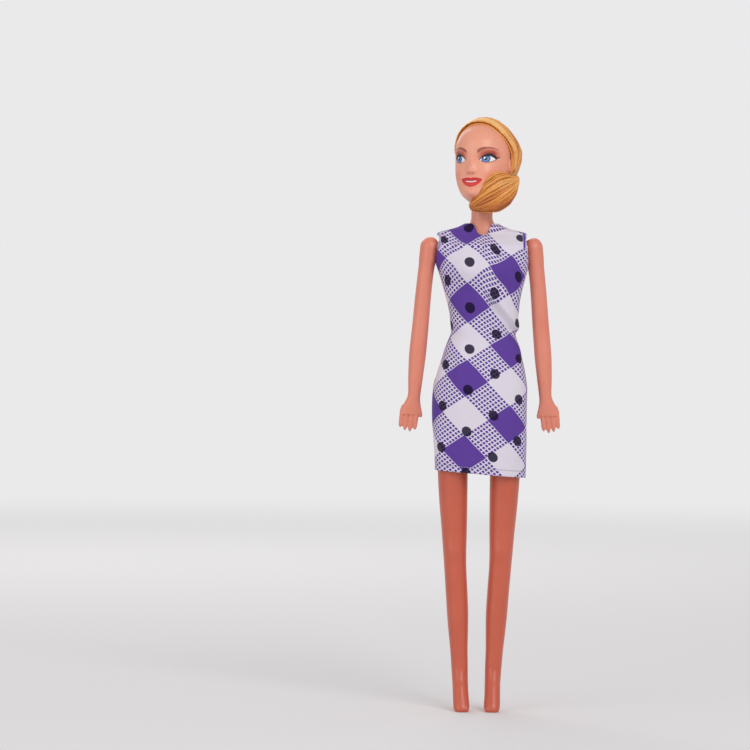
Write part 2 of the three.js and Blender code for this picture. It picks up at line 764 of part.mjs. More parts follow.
/** Where a ray from a point inside leaves the skull's ellipsoid grown by a thickness, as a distance. */
function reachOfSkull(from, direction, thickness) {
  const axes = new THREE.Vector3(skull.halfWidth, skull.halfDepth, skull.halfHeight).addScalar(thickness);
  const start = from.clone().sub(skullMiddle).divide(axes);
  const way = direction.clone().divide(axes);
  const a = way.dot(way);
  const b = start.dot(way);
  const c = start.dot(start) - 1;
  return (-b + Math.sqrt(Math.max(0, b * b - a * c))) / a;
}

/** Point of the grown skull straight out from its middle through a given point. */
function onSkull(point, thickness) {
  const direction = point.clone().sub(skullMiddle).normalize();
  return skullMiddle.clone().addScaledVector(direction, reachOfSkull(skullMiddle, direction, thickness));
}

/** Combed ridges over the skull, all from the right side over the top to the gather by the left ear. */
function combedCap() {
  const root = onSkull(headPoint(hairRootShares), hairThickness);
  const gather = onSkull(headPoint(hairGatherShares), hairThickness);
  const axis = gather.clone().sub(root).normalize();
  const up = new THREE.Vector3(0, 0, 1).projectOnPlane(axis).normalize();
  const ahead = new THREE.Vector3().crossVectors(up, axis).normalize();
  const rings = steps(0, Math.PI, 15).slice(1, -1).map((angle) => {
    const along = (1 - Math.cos(angle)) / 2;
    const from = root.clone().lerp(gather, along);
    return turnsRound(hairRidges * 2, 0).map((turn, index) => {
      const way = up.clone().multiplyScalar(Math.cos(turn)).addScaledVector(ahead, Math.sin(turn));
      const ridge = (index % 2 === 0 ? hairRidge : 0) * Math.sin(angle);
      return from.clone().addScaledVector(way, reachOfSkull(from, way, hairThickness) + ridge);
    });
  });
  return ringBody(rings);
}

/** Everything in front of and below the hairline, seen from the side. */
function faceWindow() {
  const line = hairlineShares.map(([place, reach]) => new THREE.Vector2(reach * faceDepth, headPlace(place)));
  const curve = new THREE.SplineCurve(line).getPoints(24);
  const shape = new THREE.Shape([
    ...curve,
    new THREE.Vector2(curve[curve.length - 1].x, headBaseHeight - overrun),
    new THREE.Vector2(-overrun, headBaseHeight - overrun),
    new THREE.Vector2(-overrun, curve[0].y),
  ]);
  const slab = new THREE.ExtrudeGeometry(shape, { depth: overrun * 2, bevelEnabled: false });
  const turned = new THREE.Matrix4().makeBasis(
    new THREE.Vector3(0, 1, 0),
    new THREE.Vector3(0, 0, 1),
    new THREE.Vector3(1, 0, 0),
  );
  return solidOf(slab.applyMatrix4(turned).translate(-overrun, 0, 0));
}

/** The rooted hair that lies on the scalp. */
function hairCap(headRoom) {
  return combedCap().subtract(headRoom).subtract(faceWindow());
}

const tailCurve = new THREE.CatmullRomCurve3(tailShares.map((row) => headPoint(row)), false, 'centripetal');

/** Place and frame of the gathered hair at a share of its way. */
function tailFrame(share) {
  const point = tailCurve.getPoint(share);
  const along = tailCurve.getTangent(share);
  const across = new THREE.Vector3(0, 0, 1).projectOnPlane(along).normalize();
  return { point, across, ahead: new THREE.Vector3().crossVectors(across, along).normalize() };
}

/** The gathered hair from the elastic to its ends under the chin. */
function hairTail(headRoom) {
  const widths = tailShares.map(([, , , width, thickness], index) => [
    index / (tailShares.length - 1), width * tailRadius, thickness * tailRadius,
  ]);
  const rings = steps(0, 1, 17).map((share) => {
    const { point, across, ahead } = tailFrame(share);
    const [width, thickness] = follow(widths, share);
    return turnsRound(tailSides, 0).map((turn, index) => {
      const groove = (index % 2) * hairRidge * Math.sin(Math.PI * share);
      return point.clone()
        .addScaledVector(across, (width - groove) * Math.cos(turn))
        .addScaledVector(ahead, (thickness - groove) * Math.sin(turn));
    });
  });
  const scalp = solidOf(new THREE.SphereGeometry(1, 28, 20)
    .scale(...[skull.halfWidth, skull.halfDepth, skull.halfHeight]
      .map((size) => size + hairThickness + hairRidge + hairGap))
    .translate(...skullMiddle.toArray()));
  return ringBody(rings).subtract(headRoom).subtract(scalp).subtract(hairBand(hairGap));
}

/** Elastic round the root of the gathered hair, its wire grown by an amount. */
function hairBand(growth) {
  const share = 1 / (tailShares.length - 1);
  const { point } = tailFrame(share);
  const rootRadius = tailShares[1][3] * tailRadius;
  const radius = rootRadius + hairGap + bandWire;
  const ring = new THREE.TorusGeometry(radius, bandWire + growth, fingerSides, roundSides);
  const upward = new THREE.Vector3(0, 0, 1);
  const turn = new THREE.Quaternion().setFromUnitVectors(upward, tailCurve.getTangent(share));
  return solidOf(ring.applyQuaternion(turn).translate(...point.toArray()));
}

// Dress

/** One girth of the dress: the body's own with its ease. */
function eased(girth, ease) {
  return {
    halfWidth: girth.halfWidth + ease.halfWidth,
    front: girth.front + ease.front,
    back: girth.back + ease.back,
    squareness: girth.squareness + ease.squareness,
  };
}

const dressGirths = [
  eased(hip, hipEase),
  eased(waist, waistEase),
  eased(bust, bustEase),
  eased(shoulder, shoulderEase),
  shoulderTip,
  neck,
];

/** Rows of the dress from the hem to the base of the neck, standing off by an offset. */
function dressRows(offset) {
  const above = stationRows(
    dressGirths,
    torsoShares.filter(([place]) => place >= hipPlaceShare && place <= dressTopShare),
    offset,
  );
  const bottom = [hemHeight, hem.halfWidth + offset, hem.front + offset, hem.back + offset, hem.squareness];
  return [bottom, ...above];
}

/** Outward relief of the cloth: a drag fold from the bust to the left of the waist, and a slack pleat. */
function clothRelief(x, height) {
  const top = torsoHeight(bustPlaceShare);
  const low = torsoHeight(waistPlaceShare);
  const share = (top - height) / (top - low);
  const foldMiddle = THREE.MathUtils.lerp(waist.halfWidth * 0.35, waist.halfWidth * 1.1, share);
  const fold = foldHeight * bell(x - foldMiddle, foldSpread) * bell(share - 0.55, 0.6);
  const pleatMiddle = (low + hipAxisHeight) / 2;
  const pleat = pleatHeight * bell(x + waist.halfWidth, foldSpread)
    * bell(height - pleatMiddle, waist.halfWidth * 1.3);
  return fold + pleat;
}

/** The dress's surface, standing off its girths by an offset and running past both ends by an overlap. */
function dressBody(offset, overlap) {
  const rows = dressRows(offset);
  const top = rows[rows.length - 1][0];
  const rings = ringHeights(rows, hemHeight, top, 13).map((height) => {
    const [halfWidth, front, back, squareness] = follow(rows, height);
    const drift = waistDrift * bell(height - torsoHeight(waistPlaceShare), torsoLength / 3);
    const tilt = hemTiltShare * THREE.MathUtils.clamp((hipAxisHeight - height) / skirtLength, 0, 1);
    return turnsRound(dressSides, 0.2).map((turn) => {
      const [x, y] = sectionPoint(turn, halfWidth, front, back, squareness);
      const ahead = Math.max(0, Math.cos(turn));
      const forward = (bustSwell(x, height, bustSpread * 1.4) + clothRelief(x, height)) * Math.sqrt(ahead);
      const reach = Math.hypot(y - forward, height - shoulderAxisHeight);
      const limit = armInnerSide(reach) - sideGap - overlap;
      return new THREE.Vector3(
        THREE.MathUtils.clamp(x + drift, -limit, limit),
        y - forward,
        height - tilt * x,
      );
    });
  });
  if (overlap > 0) {
    rings.unshift(rings[0].map((point) => point.clone().setZ(point.z - overlap)));
    rings.push(rings[rings.length - 1].map((point) => point.clone().setZ(point.z + overlap)));
  }
  return ringBody(rings);
}

/** Cloth cut out at the neckline and the armholes. */
function trimmed(cloth) {
  const opening = solidOf(new THREE.CylinderGeometry(1, 1, overrun, 28)
    .rotateX(Math.PI / 2)
    .scale(neckline.halfWidth, (neckline.front + neckline.back) / 2, 1)
    .translate(0, (neckline.back - neckline.front) / 2, neckTopHeight));
  let cut = cloth.subtract(opening);
  for (const side of [1, -1]) {
    const radius = shoulderCapRadius + armholeEase;
    cut = cut.subtract(rodAlongX(radius, shoulderFace / 2, overrun, side, shoulderAxisHeight));
  }
  return cut;
}

/** Cloth between two distances off the eased body, between two places across the back. */
function backLayer(inner, outer, left, right) {
  const sheet = trimmed(dressBody(outer, 0).subtract(dressBody(inner, outer - inner)));
  return halfShell(sheet, 1, seamGap).intersect(block(
    [left, -overrun, hemHeight - overrun],
    [right, overrun, crownHeight],
  ));
}

const clothOutside = clothGap + clothThickness;
const loopLayer = clothOutside + tapeGap;
const hookLayer = loopLayer + tapeThickness + tapeGap;
const flapLayer = hookLayer + tapeThickness + tapeGap;

/** The left back panel, which laps over the right one at the middle of the back. */
function leftBackPanel() {
  const step = closureOverlap + seamGap;
  const flat = backLayer(clothGap, clothOutside, step, overrun);
  const riser = backLayer(clothGap, flapLayer + clothThickness, step, step + clothThickness);
  const flap = backLayer(flapLayer, flapLayer + clothThickness, -closureOverlap, step + clothThickness);
  return flat.add(riser).add(flap);
}

/** One tape of the closure, in its layer between the two panels. */
function closureTape(layer) {
  const top = shoulderAxisHeight + closureRise;
  return backLayer(layer, layer + tapeThickness, -tapeWidth / 2, tapeWidth / 2).intersect(block(
    [-tapeWidth, 0, top - closureLength],
    [tapeWidth, overrun, top],
  ));
}

// Assembly

const doll = new THREE.Group();
const head = new THREE.Group();
head.rotation.z = headTurn;
doll.add(head);

const shell = torsoShell();
addPiece(doll, 'torso_front', halfShell(shell, -1, seamGap), skinFinish);
addPiece(doll, 'torso_back', halfShell(shell, 1, seamGap), skinFinish);
addPiece(doll, 'neck_knob', neckKnob(), studFinish);

for (const [name, side] of [['left', 1], ['right', -1]]) {
  addPiece(doll, `${name}_arm`, armWithHand(side), armFinish);
  addPiece(doll, `${name}_leg`, legWithFoot(side), legFinish);
  addPiece(doll, `${name}_shoulder_stud`,
    snapStud(side, armFace, shoulderFace - shellWall, shoulderAxisHeight), studFinish);
  addPiece(doll, `${name}_hip_stud`,
    snapStud(side, legFace, hipWebHalfWidth - shellWall, hipAxisHeight), studFinish);
}

const headRoom = headBody(hairGap, headSides, faceHeightShares, true).add(ears(hairGap));
addPiece(head, 'head_shell', headShell(), skinFinish);
addPiece(head, 'hair_cap', hairCap(headRoom), hairFinish);
addPiece(head, 'hair_tail', hairTail(headRoom), hairFinish);
addPiece(head, 'hair_band', hairBand(0), bandFinish);

const cloth = trimmed(dressBody(clothOutside, 0).subtract(dressBody(clothGap, clothThickness)));
addPiece(doll, 'dress_front', halfShell(cloth, -1, seamGap), clothFinish);
addPiece(doll, 'dress_back_right', backLayer(clothGap, clothOutside, -overrun, closureOverlap), clothFinish);
addPiece(doll, 'dress_back_left', leftBackPanel(), clothFinish);
addPiece(doll, 'closure_loop_tape', closureTape(loopLayer), tapeFinish);
addPiece(doll, 'closure_hook_tape', closureTape(hookLayer), tapeFinish);

// The origin lies under the middle of the doll's outline, on the ground
const outline = new THREE.Box3().setFromObject(doll, true);
doll.position.y = -(outline.min.y + outline.max.y) / 2;

export default doll;
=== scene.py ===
"""A slim fashion doll in a printed sheath dress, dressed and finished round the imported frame."""

from __future__ import annotations

import json
import logging
import math
import random
from collections.abc import Callable, Sequence
from dataclasses import astuple, dataclass, field
from enum import Enum
from itertools import pairwise

import bmesh  # noqa: E402
import bpy  # noqa: E402
from mathutils import Matrix, Vector, noise  # noqa: E402

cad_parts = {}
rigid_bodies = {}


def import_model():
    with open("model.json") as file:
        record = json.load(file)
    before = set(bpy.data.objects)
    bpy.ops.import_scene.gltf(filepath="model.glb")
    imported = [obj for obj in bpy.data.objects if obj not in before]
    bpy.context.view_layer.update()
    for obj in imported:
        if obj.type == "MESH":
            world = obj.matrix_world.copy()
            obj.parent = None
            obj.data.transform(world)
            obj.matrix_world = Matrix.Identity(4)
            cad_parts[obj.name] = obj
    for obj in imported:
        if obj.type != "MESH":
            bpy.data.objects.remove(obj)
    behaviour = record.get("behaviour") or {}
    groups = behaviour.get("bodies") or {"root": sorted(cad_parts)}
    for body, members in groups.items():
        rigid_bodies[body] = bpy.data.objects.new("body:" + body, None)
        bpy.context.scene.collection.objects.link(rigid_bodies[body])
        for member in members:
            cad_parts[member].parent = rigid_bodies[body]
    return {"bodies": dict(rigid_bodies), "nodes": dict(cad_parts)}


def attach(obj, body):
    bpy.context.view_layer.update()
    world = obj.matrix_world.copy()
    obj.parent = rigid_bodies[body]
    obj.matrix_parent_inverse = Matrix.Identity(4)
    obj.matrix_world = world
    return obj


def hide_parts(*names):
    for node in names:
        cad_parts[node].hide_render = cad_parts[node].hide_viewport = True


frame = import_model()

LOG = logging.getLogger("doll")

MM = 0.001
BODY_AXIS_Y = -1.331
HEAD_TURN = math.radians(-25)
UP = Vector((0, 0, 1))
EYE_OUT = 6.4
MOUTH_HEIGHT = 228.4

Rows = Sequence[tuple[float, ...]]
Colour = tuple[float, float, float, float]


class Side(Enum):
    """The doll's own left and right, as the sign of X."""

    LEFT = 1
    RIGHT = -1

    @property
    def word(self) -> str:
        """The side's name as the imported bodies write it."""
        return self.name.lower()


# Curves and sections


def srgb(red: int, green: int, blue: int) -> Colour:
    """A colour as a shader takes it.

    Args:
        red: Red, 0 to 255, as a screen shows it.
        green: Green, 0 to 255.
        blue: Blue, 0 to 255.

    Returns:
        The linear colour with full alpha.
    """

    def linear(channel: int) -> float:
        """One channel made linear."""
        share = channel / 255
        return share / 12.92 if share <= 0.04045 else ((share + 0.055) / 1.055) ** 2.4

    return (linear(red), linear(green), linear(blue), 1.0)


def bell(distance: float, spread: float) -> float:
    """A soft bump that is 1 at no distance."""
    return math.exp(-((distance / spread) ** 2))


def ease(value: float, low: float, high: float) -> float:
    """0 below low, 1 above high and smooth between them; low may be the larger."""
    share = min(1.0, max(0.0, (value - low) / (high - low)))
    return share * share * (3 - 2 * share)


def slope_at(rows: Rows, index: int, column: int) -> float:
    """Slope of one column at a row.

    Args:
        rows: Rows whose first number is the place.
        index: The row.
        column: The column.

    Returns:
        0 at a peak, and otherwise a slope between those on its two sides.
    """

    def rise(start: int) -> float:
        """Slope from one row to the next."""
        return (rows[start + 1][column] - rows[start][column]) / (rows[start + 1][0] - rows[start][0])

    if index == 0:
        return rise(0)
    if index == len(rows) - 1:
        return rise(index - 1)
    before, after = rise(index - 1), rise(index)
    return 0.0 if before * after <= 0 else 2 * before * after / (before + after)


def follow(rows: Rows, place: float) -> list[float]:
    """Smooth curves through rows, without overshoot.

    Args:
        rows: Rows whose first number is the place.
        place: Where to read them.

    Returns:
        The other columns' values there.
    """
    if place <= rows[0][0]:
        return list(rows[0][1:])
    if place >= rows[-1][0]:
        return list(rows[-1][1:])
    index = next(at for at in range(len(rows) - 1) if rows[at + 1][0] >= place)
    span = rows[index + 1][0] - rows[index][0]
    along = (place - rows[index][0]) / span
    values = []
    for column in range(1, len(rows[0])):
        value = rows[index][column]
        here = slope_at(rows, index, column) * span
        there = slope_at(rows, index + 1, column) * span
        step = rows[index + 1][column] - value
        bend = here + there - 2 * step
        values.append(value + along * (here + along * (3 * step - 2 * here - there + along * bend)))
    return values


def steps(low: float, high: float, count: int) -> list[float]:
    """Even steps from low to high, with both ends."""
    return [low + (high - low) * index / count for index in range(count + 1)]


def turns(sides: int, crowding: float = 0.0) -> list[float]:
    """Turns round a section from the front, closer together at the front where crowding is above 0."""
    return [turn - crowding * math.sin(turn) for turn in steps(0, math.tau, sides)[:-1]]


def section_point(turn: float, half_width: float, front: float, back: float, squareness: float) -> Vector:
    """A point of a rounded section.

    Args:
        turn: 0 at the front and a quarter turn at the left side.
        half_width: Half width of the section.
        front: Reach to the front.
        back: Reach to the back.
        squareness: 2 is an ellipse, and more is squarer.

    Returns:
        The point, at height 0.
    """
    across, ahead = math.sin(turn), math.cos(turn)
    power = 2 / squareness
    return Vector((
        half_width * math.copysign(abs(across) ** power, across),
        (back - front) / 2 - (back + front) / 2 * math.copysign(abs(ahead) ** power, ahead),
        0,
    ))


def along_points(points: Sequence[Vector], share: float) -> Vector:
    """A point of the smooth line through points, at a share of the way.

    Args:
        points: The points.
        share: The share of the way, from 0 to 1.

    Returns:
        The point.
    """
    place = min(max(share, 0.0), 0.9999) * (len(points) - 1)
    index = int(place)
    part = place - index
    before = points[max(index - 1, 0)]
    here, there = points[index], points[index + 1]
    after = points[min(index + 2, len(points) - 1)]
    return (
        here * 2
        + (there - before) * part
        + (before * 2 - here * 5 + there * 4 - after) * part**2
        + (here * 3 - before - there * 3 + after) * part**3
    ) / 2


# Mesh making


def add_skin(
    bm: bmesh.types.BMesh,
    rings: Sequence[Sequence[Vector]],
    closed: bool = True,
    place: Callable[[int, int, int], tuple[float, float]] | None = None,
) -> None:
    """Bends a grid into a skin over rings of points.

    Args:
        bm: The mesh that it goes into.
        rings: Rings of equally many points.
        closed: Whether each ring runs back to its start and both ends are closed.
        place: The UV of a ring and side, as the face that starts at a third number has it.
    """
    if closed:
        ends = [sum(ring, Vector((0, 0, 0))) / len(ring) for ring in (rings[0], rings[-1])]
        sides = len(rings[0])
        rings = [[ends[0]] * sides, *rings, [ends[1]] * sides]
        rings = [[*ring, ring[0]] for ring in rings]
    columns, rows = len(rings[0]) - 1, len(rings) - 1
    skin = bmesh.new()
    bmesh.ops.create_grid(skin, x_segments=columns, y_segments=rows, size=1)
    spots = {
        vert: (round((vert.co.y + 1) / 2 * rows), round((vert.co.x + 1) / 2 * columns))
        for vert in skin.verts
    }
    if place:
        layer = skin.loops.layers.uv.verify()
        for face in skin.faces:
            first = min(spots[vert][1] for vert in face.verts)
            for loop in face.loops:
                ring, side = spots[loop.vert]
                ring = min(max(ring - closed, 0), len(rings) - 1 - 2 * closed)
                loop[layer].uv = place(ring, side, first)
    for vert, (ring, side) in spots.items():
        vert.co = rings[ring][side]
    bmesh.ops.remove_doubles(skin, verts=skin.verts, dist=1e-4)
    join(bm, skin)


def join(bm: bmesh.types.BMesh, part: bmesh.types.BMesh) -> None:
    """Adds one mesh to another and frees it.

    Args:
        bm: The mesh that grows.
        part: The mesh that is added.
    """
    mesh = bpy.data.meshes.new("part")
    part.to_mesh(mesh)
    part.free()
    bm.from_mesh(mesh)
    bpy.data.meshes.remove(mesh)


def add_tube(
    bm: bmesh.types.BMesh,
    path: Sequence[Vector],
    radii: Sequence[float],
    sides: int,
    flatness: float = 1.0,
    normals: Sequence[Vector] | None = None,
    number: float = 0.0,
) -> None:
    """A tapering rod along a path, with its UV as its number and turn, and its length.

    Args:
        bm: The mesh that it goes into.
        path: The points of its middle line.
        radii: Its radius at each point.
        sides: Sides of its section.
        flatness: Thickness along the normals as a share of the width.
        normals: The direction of its thickness at each point, or None for any.
        number: A whole number that tells this rod from the others.
    """
    rings = []
    for index, point in enumerate(path):
        ahead = (path[min(index + 1, len(path) - 1)] - path[max(index - 1, 0)]).normalized()
        lift = normals[index] if normals else ahead.orthogonal()
        lift = (lift - ahead * lift.dot(ahead)).normalized()
        across = ahead.cross(lift)
        rings.append([
            point + (across * math.cos(turn) + lift * math.sin(turn) * flatness) * radii[index]
            for turn in turns(sides)
        ])
    lengths = [0.0]
    for start, end in pairwise(path):
        lengths.append(lengths[-1] + (end - start).length)
    add_skin(bm, rings, place=lambda ring, side, _: (number + 0.9 * side / sides, lengths[ring]))


def add_object(name: str, data: bpy.types.ID) -> bpy.types.Object:
    """Links a mesh, rig, lamp or camera into the scene.

    Args:
        name: The object's name.
        data: What it shows.

    Returns:
        The object.
    """
    made = bpy.data.objects.new(name, data)
    bpy.context.scene.collection.objects.link(made)
    return made


def mesh_object(name: str, bm: bmesh.types.BMesh) -> bpy.types.Object:
    """A smooth object in the scene.

    Args:
        name: Its name.
        bm: The mesh, which is freed.

    Returns:
        The object.
    """
    mesh = bpy.data.meshes.new(name)
    bm.to_mesh(mesh)
    bm.free()
    mesh.shade_smooth()
    return add_object(name, mesh)


def to_object(name: str, bm: bmesh.types.BMesh, turn: float = 0.0) -> bpy.types.Object:
    """A mesh in body millimetres as an object in the frame's metres.

    Args:
        name: The piece's name.
        bm: The mesh, which is freed.
        turn: Turn about the neck, in radians.

    Returns:
        The object at the origin, with its place in its mesh.
    """
    bmesh.ops.remove_doubles(bm, verts=bm.verts, dist=1e-4)
    turned = Matrix.Rotation(turn, 4, "Z") @ Matrix.Scale(MM, 4)
    place = Matrix.Translation((0, BODY_AXIS_Y * MM, 0)) @ turned
    bmesh.ops.transform(bm, matrix=place, verts=bm.verts)
    bmesh.ops.recalc_face_normals(bm, faces=bm.faces)
    return mesh_object(name, bm)


def settle(piece: bpy.types.Object) -> None:
    """Makes what a piece's modifiers show its own mesh.

    Args:
        piece: The object.
    """
    bpy.context.view_layer.update()
    shown = piece.evaluated_get(bpy.context.evaluated_depsgraph_get())
    mesh = bpy.data.meshes.new_from_object(shown)
    piece.modifiers.clear()
    old = piece.data
    piece.data = mesh
    bpy.data.meshes.remove(old)


def fuse(piece: bpy.types.Object, voxel: float, rounds: int) -> None:
    """Melts the bodies of a mesh into one smooth moulding.

    Args:
        piece: The object.
        voxel: Size of the grid that it is rebuilt on, in millimetres.
        rounds: Rounds of smoothing.
    """
    melt = piece.modifiers.new("melt", "REMESH")
    melt.mode = "VOXEL"
    melt.voxel_size = voxel * MM
    melt.use_smooth_shade = True
    soften = piece.modifiers.new("soften", "SMOOTH")
    soften.factor = 0.5
    soften.iterations = rounds
    settle(piece)


def thicken(piece: bpy.types.Object, thickness: float, offset: int) -> None:
    """Gives a skin its thickness.

    Args:
        piece: The object.
        thickness: Its thickness in millimetres.
        offset: 1 to grow outwards, or -1 inwards.
    """
    wall = piece.modifiers.new("thickness", "SOLIDIFY")
    wall.thickness = thickness * MM
    wall.offset = offset
    settle(piece)


def cut_away(piece: bpy.types.Object, cutter: bpy.types.Object) -> None:
    """Takes a cutter's room out of a piece and removes the cutter.

    Args:
        piece: The object.
        cutter: The closed object that it loses the room of.
    """
    cut = piece.modifiers.new("cut", "BOOLEAN")
    cut.operation = "DIFFERENCE"
    cut.solver = "EXACT"
    cut.object = cutter
    settle(piece)
    bpy.data.objects.remove(cutter)


def dress_up(
    piece: bpy.types.Object,
    finish: Finish,
    body: str,
    stands_for: Sequence[str] = (),
) -> bpy.types.Object:
    """Gives a piece its finish, its body and the nodes that it stands for.

    Args:
        piece: The object.
        finish: What it is finished in.
        body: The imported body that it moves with.
        stands_for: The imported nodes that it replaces.

    Returns:
        The same object.
    """
    piece.data.materials.clear()
    piece.data.materials.append(finish.material())
    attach(piece, body)
    if stands_for:
        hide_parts(*stands_for)
    LOG.info("%s: %d faces on %s", piece.name, len(piece.data.polygons), body)
    return piece


def finish_packed(nodes: Sequence[str], finish: Finish) -> None:
    """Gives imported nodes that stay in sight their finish.

    Args:
        nodes: Their names.
        finish: What they are finished in.
    """
    for node in nodes:
        materials = frame["nodes"][node].data.materials
        materials.clear()
        materials.append(finish.material())
        LOG.info("%s: packed node with its finish", node)


# Shader maths


class Value:
    """A shader socket that Python's own operators add Math nodes to."""

    def __init__(self, shader: Shader, socket: bpy.types.NodeSocket) -> None:
        """Wraps one output socket of a shader's nodes."""
        self.shader = shader
        self.socket = socket

    def math(self, operation: str, *terms: Value | float) -> Value:
        """A Math node on the given terms."""
        return self.shader.node("ShaderNodeMath", {"operation": operation}, dict(enumerate(terms)))

    def __add__(self, other: Value | float) -> Value:
        """The sum."""
        return self.math("ADD", self, other)

    __radd__ = __add__

    def __sub__(self, other: Value | float) -> Value:
        """The difference."""
        return self.math("SUBTRACT", self, other)

    def __rsub__(self, other: float) -> Value:
        """The difference from a number."""
        return self.math("SUBTRACT", other, self)

    def __mul__(self, other: Value | float) -> Value:
        """The product."""
        return self.math("MULTIPLY", self, other)

    __rmul__ = __mul__

    def __truediv__(self, other: Value | float) -> Value:
        """The quotient."""
        return self.math("DIVIDE", self, other)

    def __pow__(self, other: float) -> Value:
        """A power."""
        return self.math("POWER", self, other)

    def __abs__(self) -> Value:
        """The size without its sign."""
        return self.math("ABSOLUTE", self)

    def sign(self) -> Value:
        """-1, 0 or 1."""
        return self.math("SIGN", self)

    def floor(self) -> Value:
        """The whole number below."""
        return self.math("FLOOR", self)

    def part(self) -> Value:
        """What is left above the whole number below."""
        return self.math("FRACT", self)

    def most(self, other: Value | float) -> Value:
        """The larger one."""
        return self.math("MAXIMUM", self, other)

    def root(self) -> Value:
        """The square root."""
        return self.math("SQRT", self)

    def sine(self) -> Value:
        """The sine."""
        return self.math("SINE", self)

    def over(self, low: float, high: float) -> Value:
        """A smooth step.

        Args:
            low: Where it is 0; this may be the larger number.
            high: Where it is 1.

        Returns:
            The step.
        """
        settings = {"interpolation_type": "SMOOTHSTEP"}
        ends = (low, high, 0.0, 1.0) if low <= high else (high, low, 1.0, 0.0)
        return self.shader.node("ShaderNodeMapRange", settings, dict(enumerate((self, *ends))))


class Shader:
    """The nodes of one material or world."""

    def __init__(self, made: bpy.types.Material | bpy.types.World) -> None:
        """Clears what a new material or world starts with.

        Args:
            made: The material or world.
        """
        made.use_nodes = True
        made.node_tree.nodes.clear()
        self.made = made
        self.tree = made.node_tree

    def node(
        self,
        kind: str,
        settings: dict[str, object] | None = None,
        sockets: dict[int | str, object] | None = None,
        output: int | str = 0,
    ) -> Value:
        """Adds one node.

        Args:
            kind: The node's type.
            settings: Its settings, with a ramp's stops as pairs of place and colour.
            sockets: Values or links of its inputs, by name or number.
            output: The output that is wanted.

        Returns:
            That output, or the same input of a node that has no outputs.
        """
        node = self.tree.nodes.new(kind)
        for key, setting in (settings or {}).items():
            if key == "stops":
                ramp = node.color_ramp.elements
                for index, (at, colour) in enumerate(setting):
                    stop = ramp[index] if index < 2 else ramp.new(at)
                    stop.position = at
                    stop.color = colour
            else:
                setattr(node, key, setting)
        for key, given in (sockets or {}).items():
            if isinstance(given, Value):
                self.tree.links.new(given.socket, node.inputs[key])
            else:
                node.inputs[key].default_value = given
        ends = node.outputs if len(node.outputs) else node.inputs
        return Value(self, ends[output])

    def place(self) -> Value:
        """The point of the surface in the piece's own metres."""
        return self.node("ShaderNodeTexCoord", output="Object")

    def cloth_place(self) -> Value:
        """The point of the piece's own UV map."""
        return self.node("ShaderNodeUVMap")

    def split(self, vector: Value) -> tuple[Value, Value, Value]:
        """The three parts of a vector.

        Args:
            vector: The vector.

        Returns:
            X, Y and Z.
        """
        parts = self.node("ShaderNodeSeparateXYZ", {}, {0: vector})
        outputs = parts.socket.node.outputs
        return tuple(Value(self, outputs[index]) for index in range(3))

    def join(self, x: Value | float, y: Value | float, z: Value | float) -> Value:
        """A vector of three parts."""
        return self.node("ShaderNodeCombineXYZ", {}, {0: x, 1: y, 2: z})

    def grain(self, vector: Value, scale: float, detail: float = 3.0, roughness: float = 0.5) -> Value:
        """Soft noise round 0.5."""
        sockets = {"Vector": vector, "Scale": scale, "Detail": detail, "Roughness": roughness}
        return self.node("ShaderNodeTexNoise", {}, sockets, "Fac")

    def mix(
        self, share: Value | float, first: Value | Colour, second: Value | Colour, way: str = "MIX"
    ) -> Value:
        """One colour turned into another by a share."""
        settings = {"data_type": "RGBA", "blend_type": way, "clamp_factor": True}
        return self.node("ShaderNodeMix", settings, {0: share, 6: first, 7: second}, 2)

    def bump(self, height: Value, distance: float, normal: Value | None = None) -> Value:
        """A normal from a height, whose distance is in metres.

        Args:
            height: The relief, about 0 to 1.
            distance: Its depth in metres.
            normal: The normal that it starts from.

        Returns:
            The normal.
        """
        sockets: dict[int | str, object] = {"Height": height, "Distance": distance, "Strength": 1.0}
        if normal:
            sockets["Normal"] = normal
        return self.node("ShaderNodeBump", {}, sockets)

    def finish(
        self,
        colour: Value | Colour,
        roughness: Value | float,
        normal: Value | None = None,
        **constants: object,
    ) -> bpy.types.Material:
        """Closes the material with its surface.

        Args:
            colour: Base colour.
            roughness: Roughness.
            normal: Normal, where the surface has relief.
            constants: Other sockets of the surface, with underscores for spaces.

        Returns:
            The material.
        """
        sockets: dict[int | str, object] = {"Base Color": colour, "Roughness": roughness}
        sockets |= {key.replace("_", " "): given for key, given in constants.items()}
        if normal:
            sockets["Normal"] = normal
        return self.close(self.node("ShaderNodeBsdfPrincipled", {}, sockets))

    def close(self, surface: Value, kind: str = "ShaderNodeOutputMaterial") -> bpy.types.ID:
        """Gives the material or world its output.

        Args:
            surface: What the output shows.
            kind: The output node's type.

        Returns:
            The material or world.
        """
        self.node(kind, {}, {"Surface": surface})
        return self.made


# Finishes


@dataclass(frozen=True)
class Finish:
    """A finish: its material's name and the record's slot."""

    name: str
    slot: str

    def material(self) -> bpy.types.Material:
        """The finish's material, made once."""
        name = f"{self.name}_finish"
        return bpy.data.materials.get(name) or self.make(Shader(bpy.data.materials.new(name)))

    def make(self, shader: Shader) -> bpy.types.Material:
        """Builds the material."""
        raise NotImplementedError


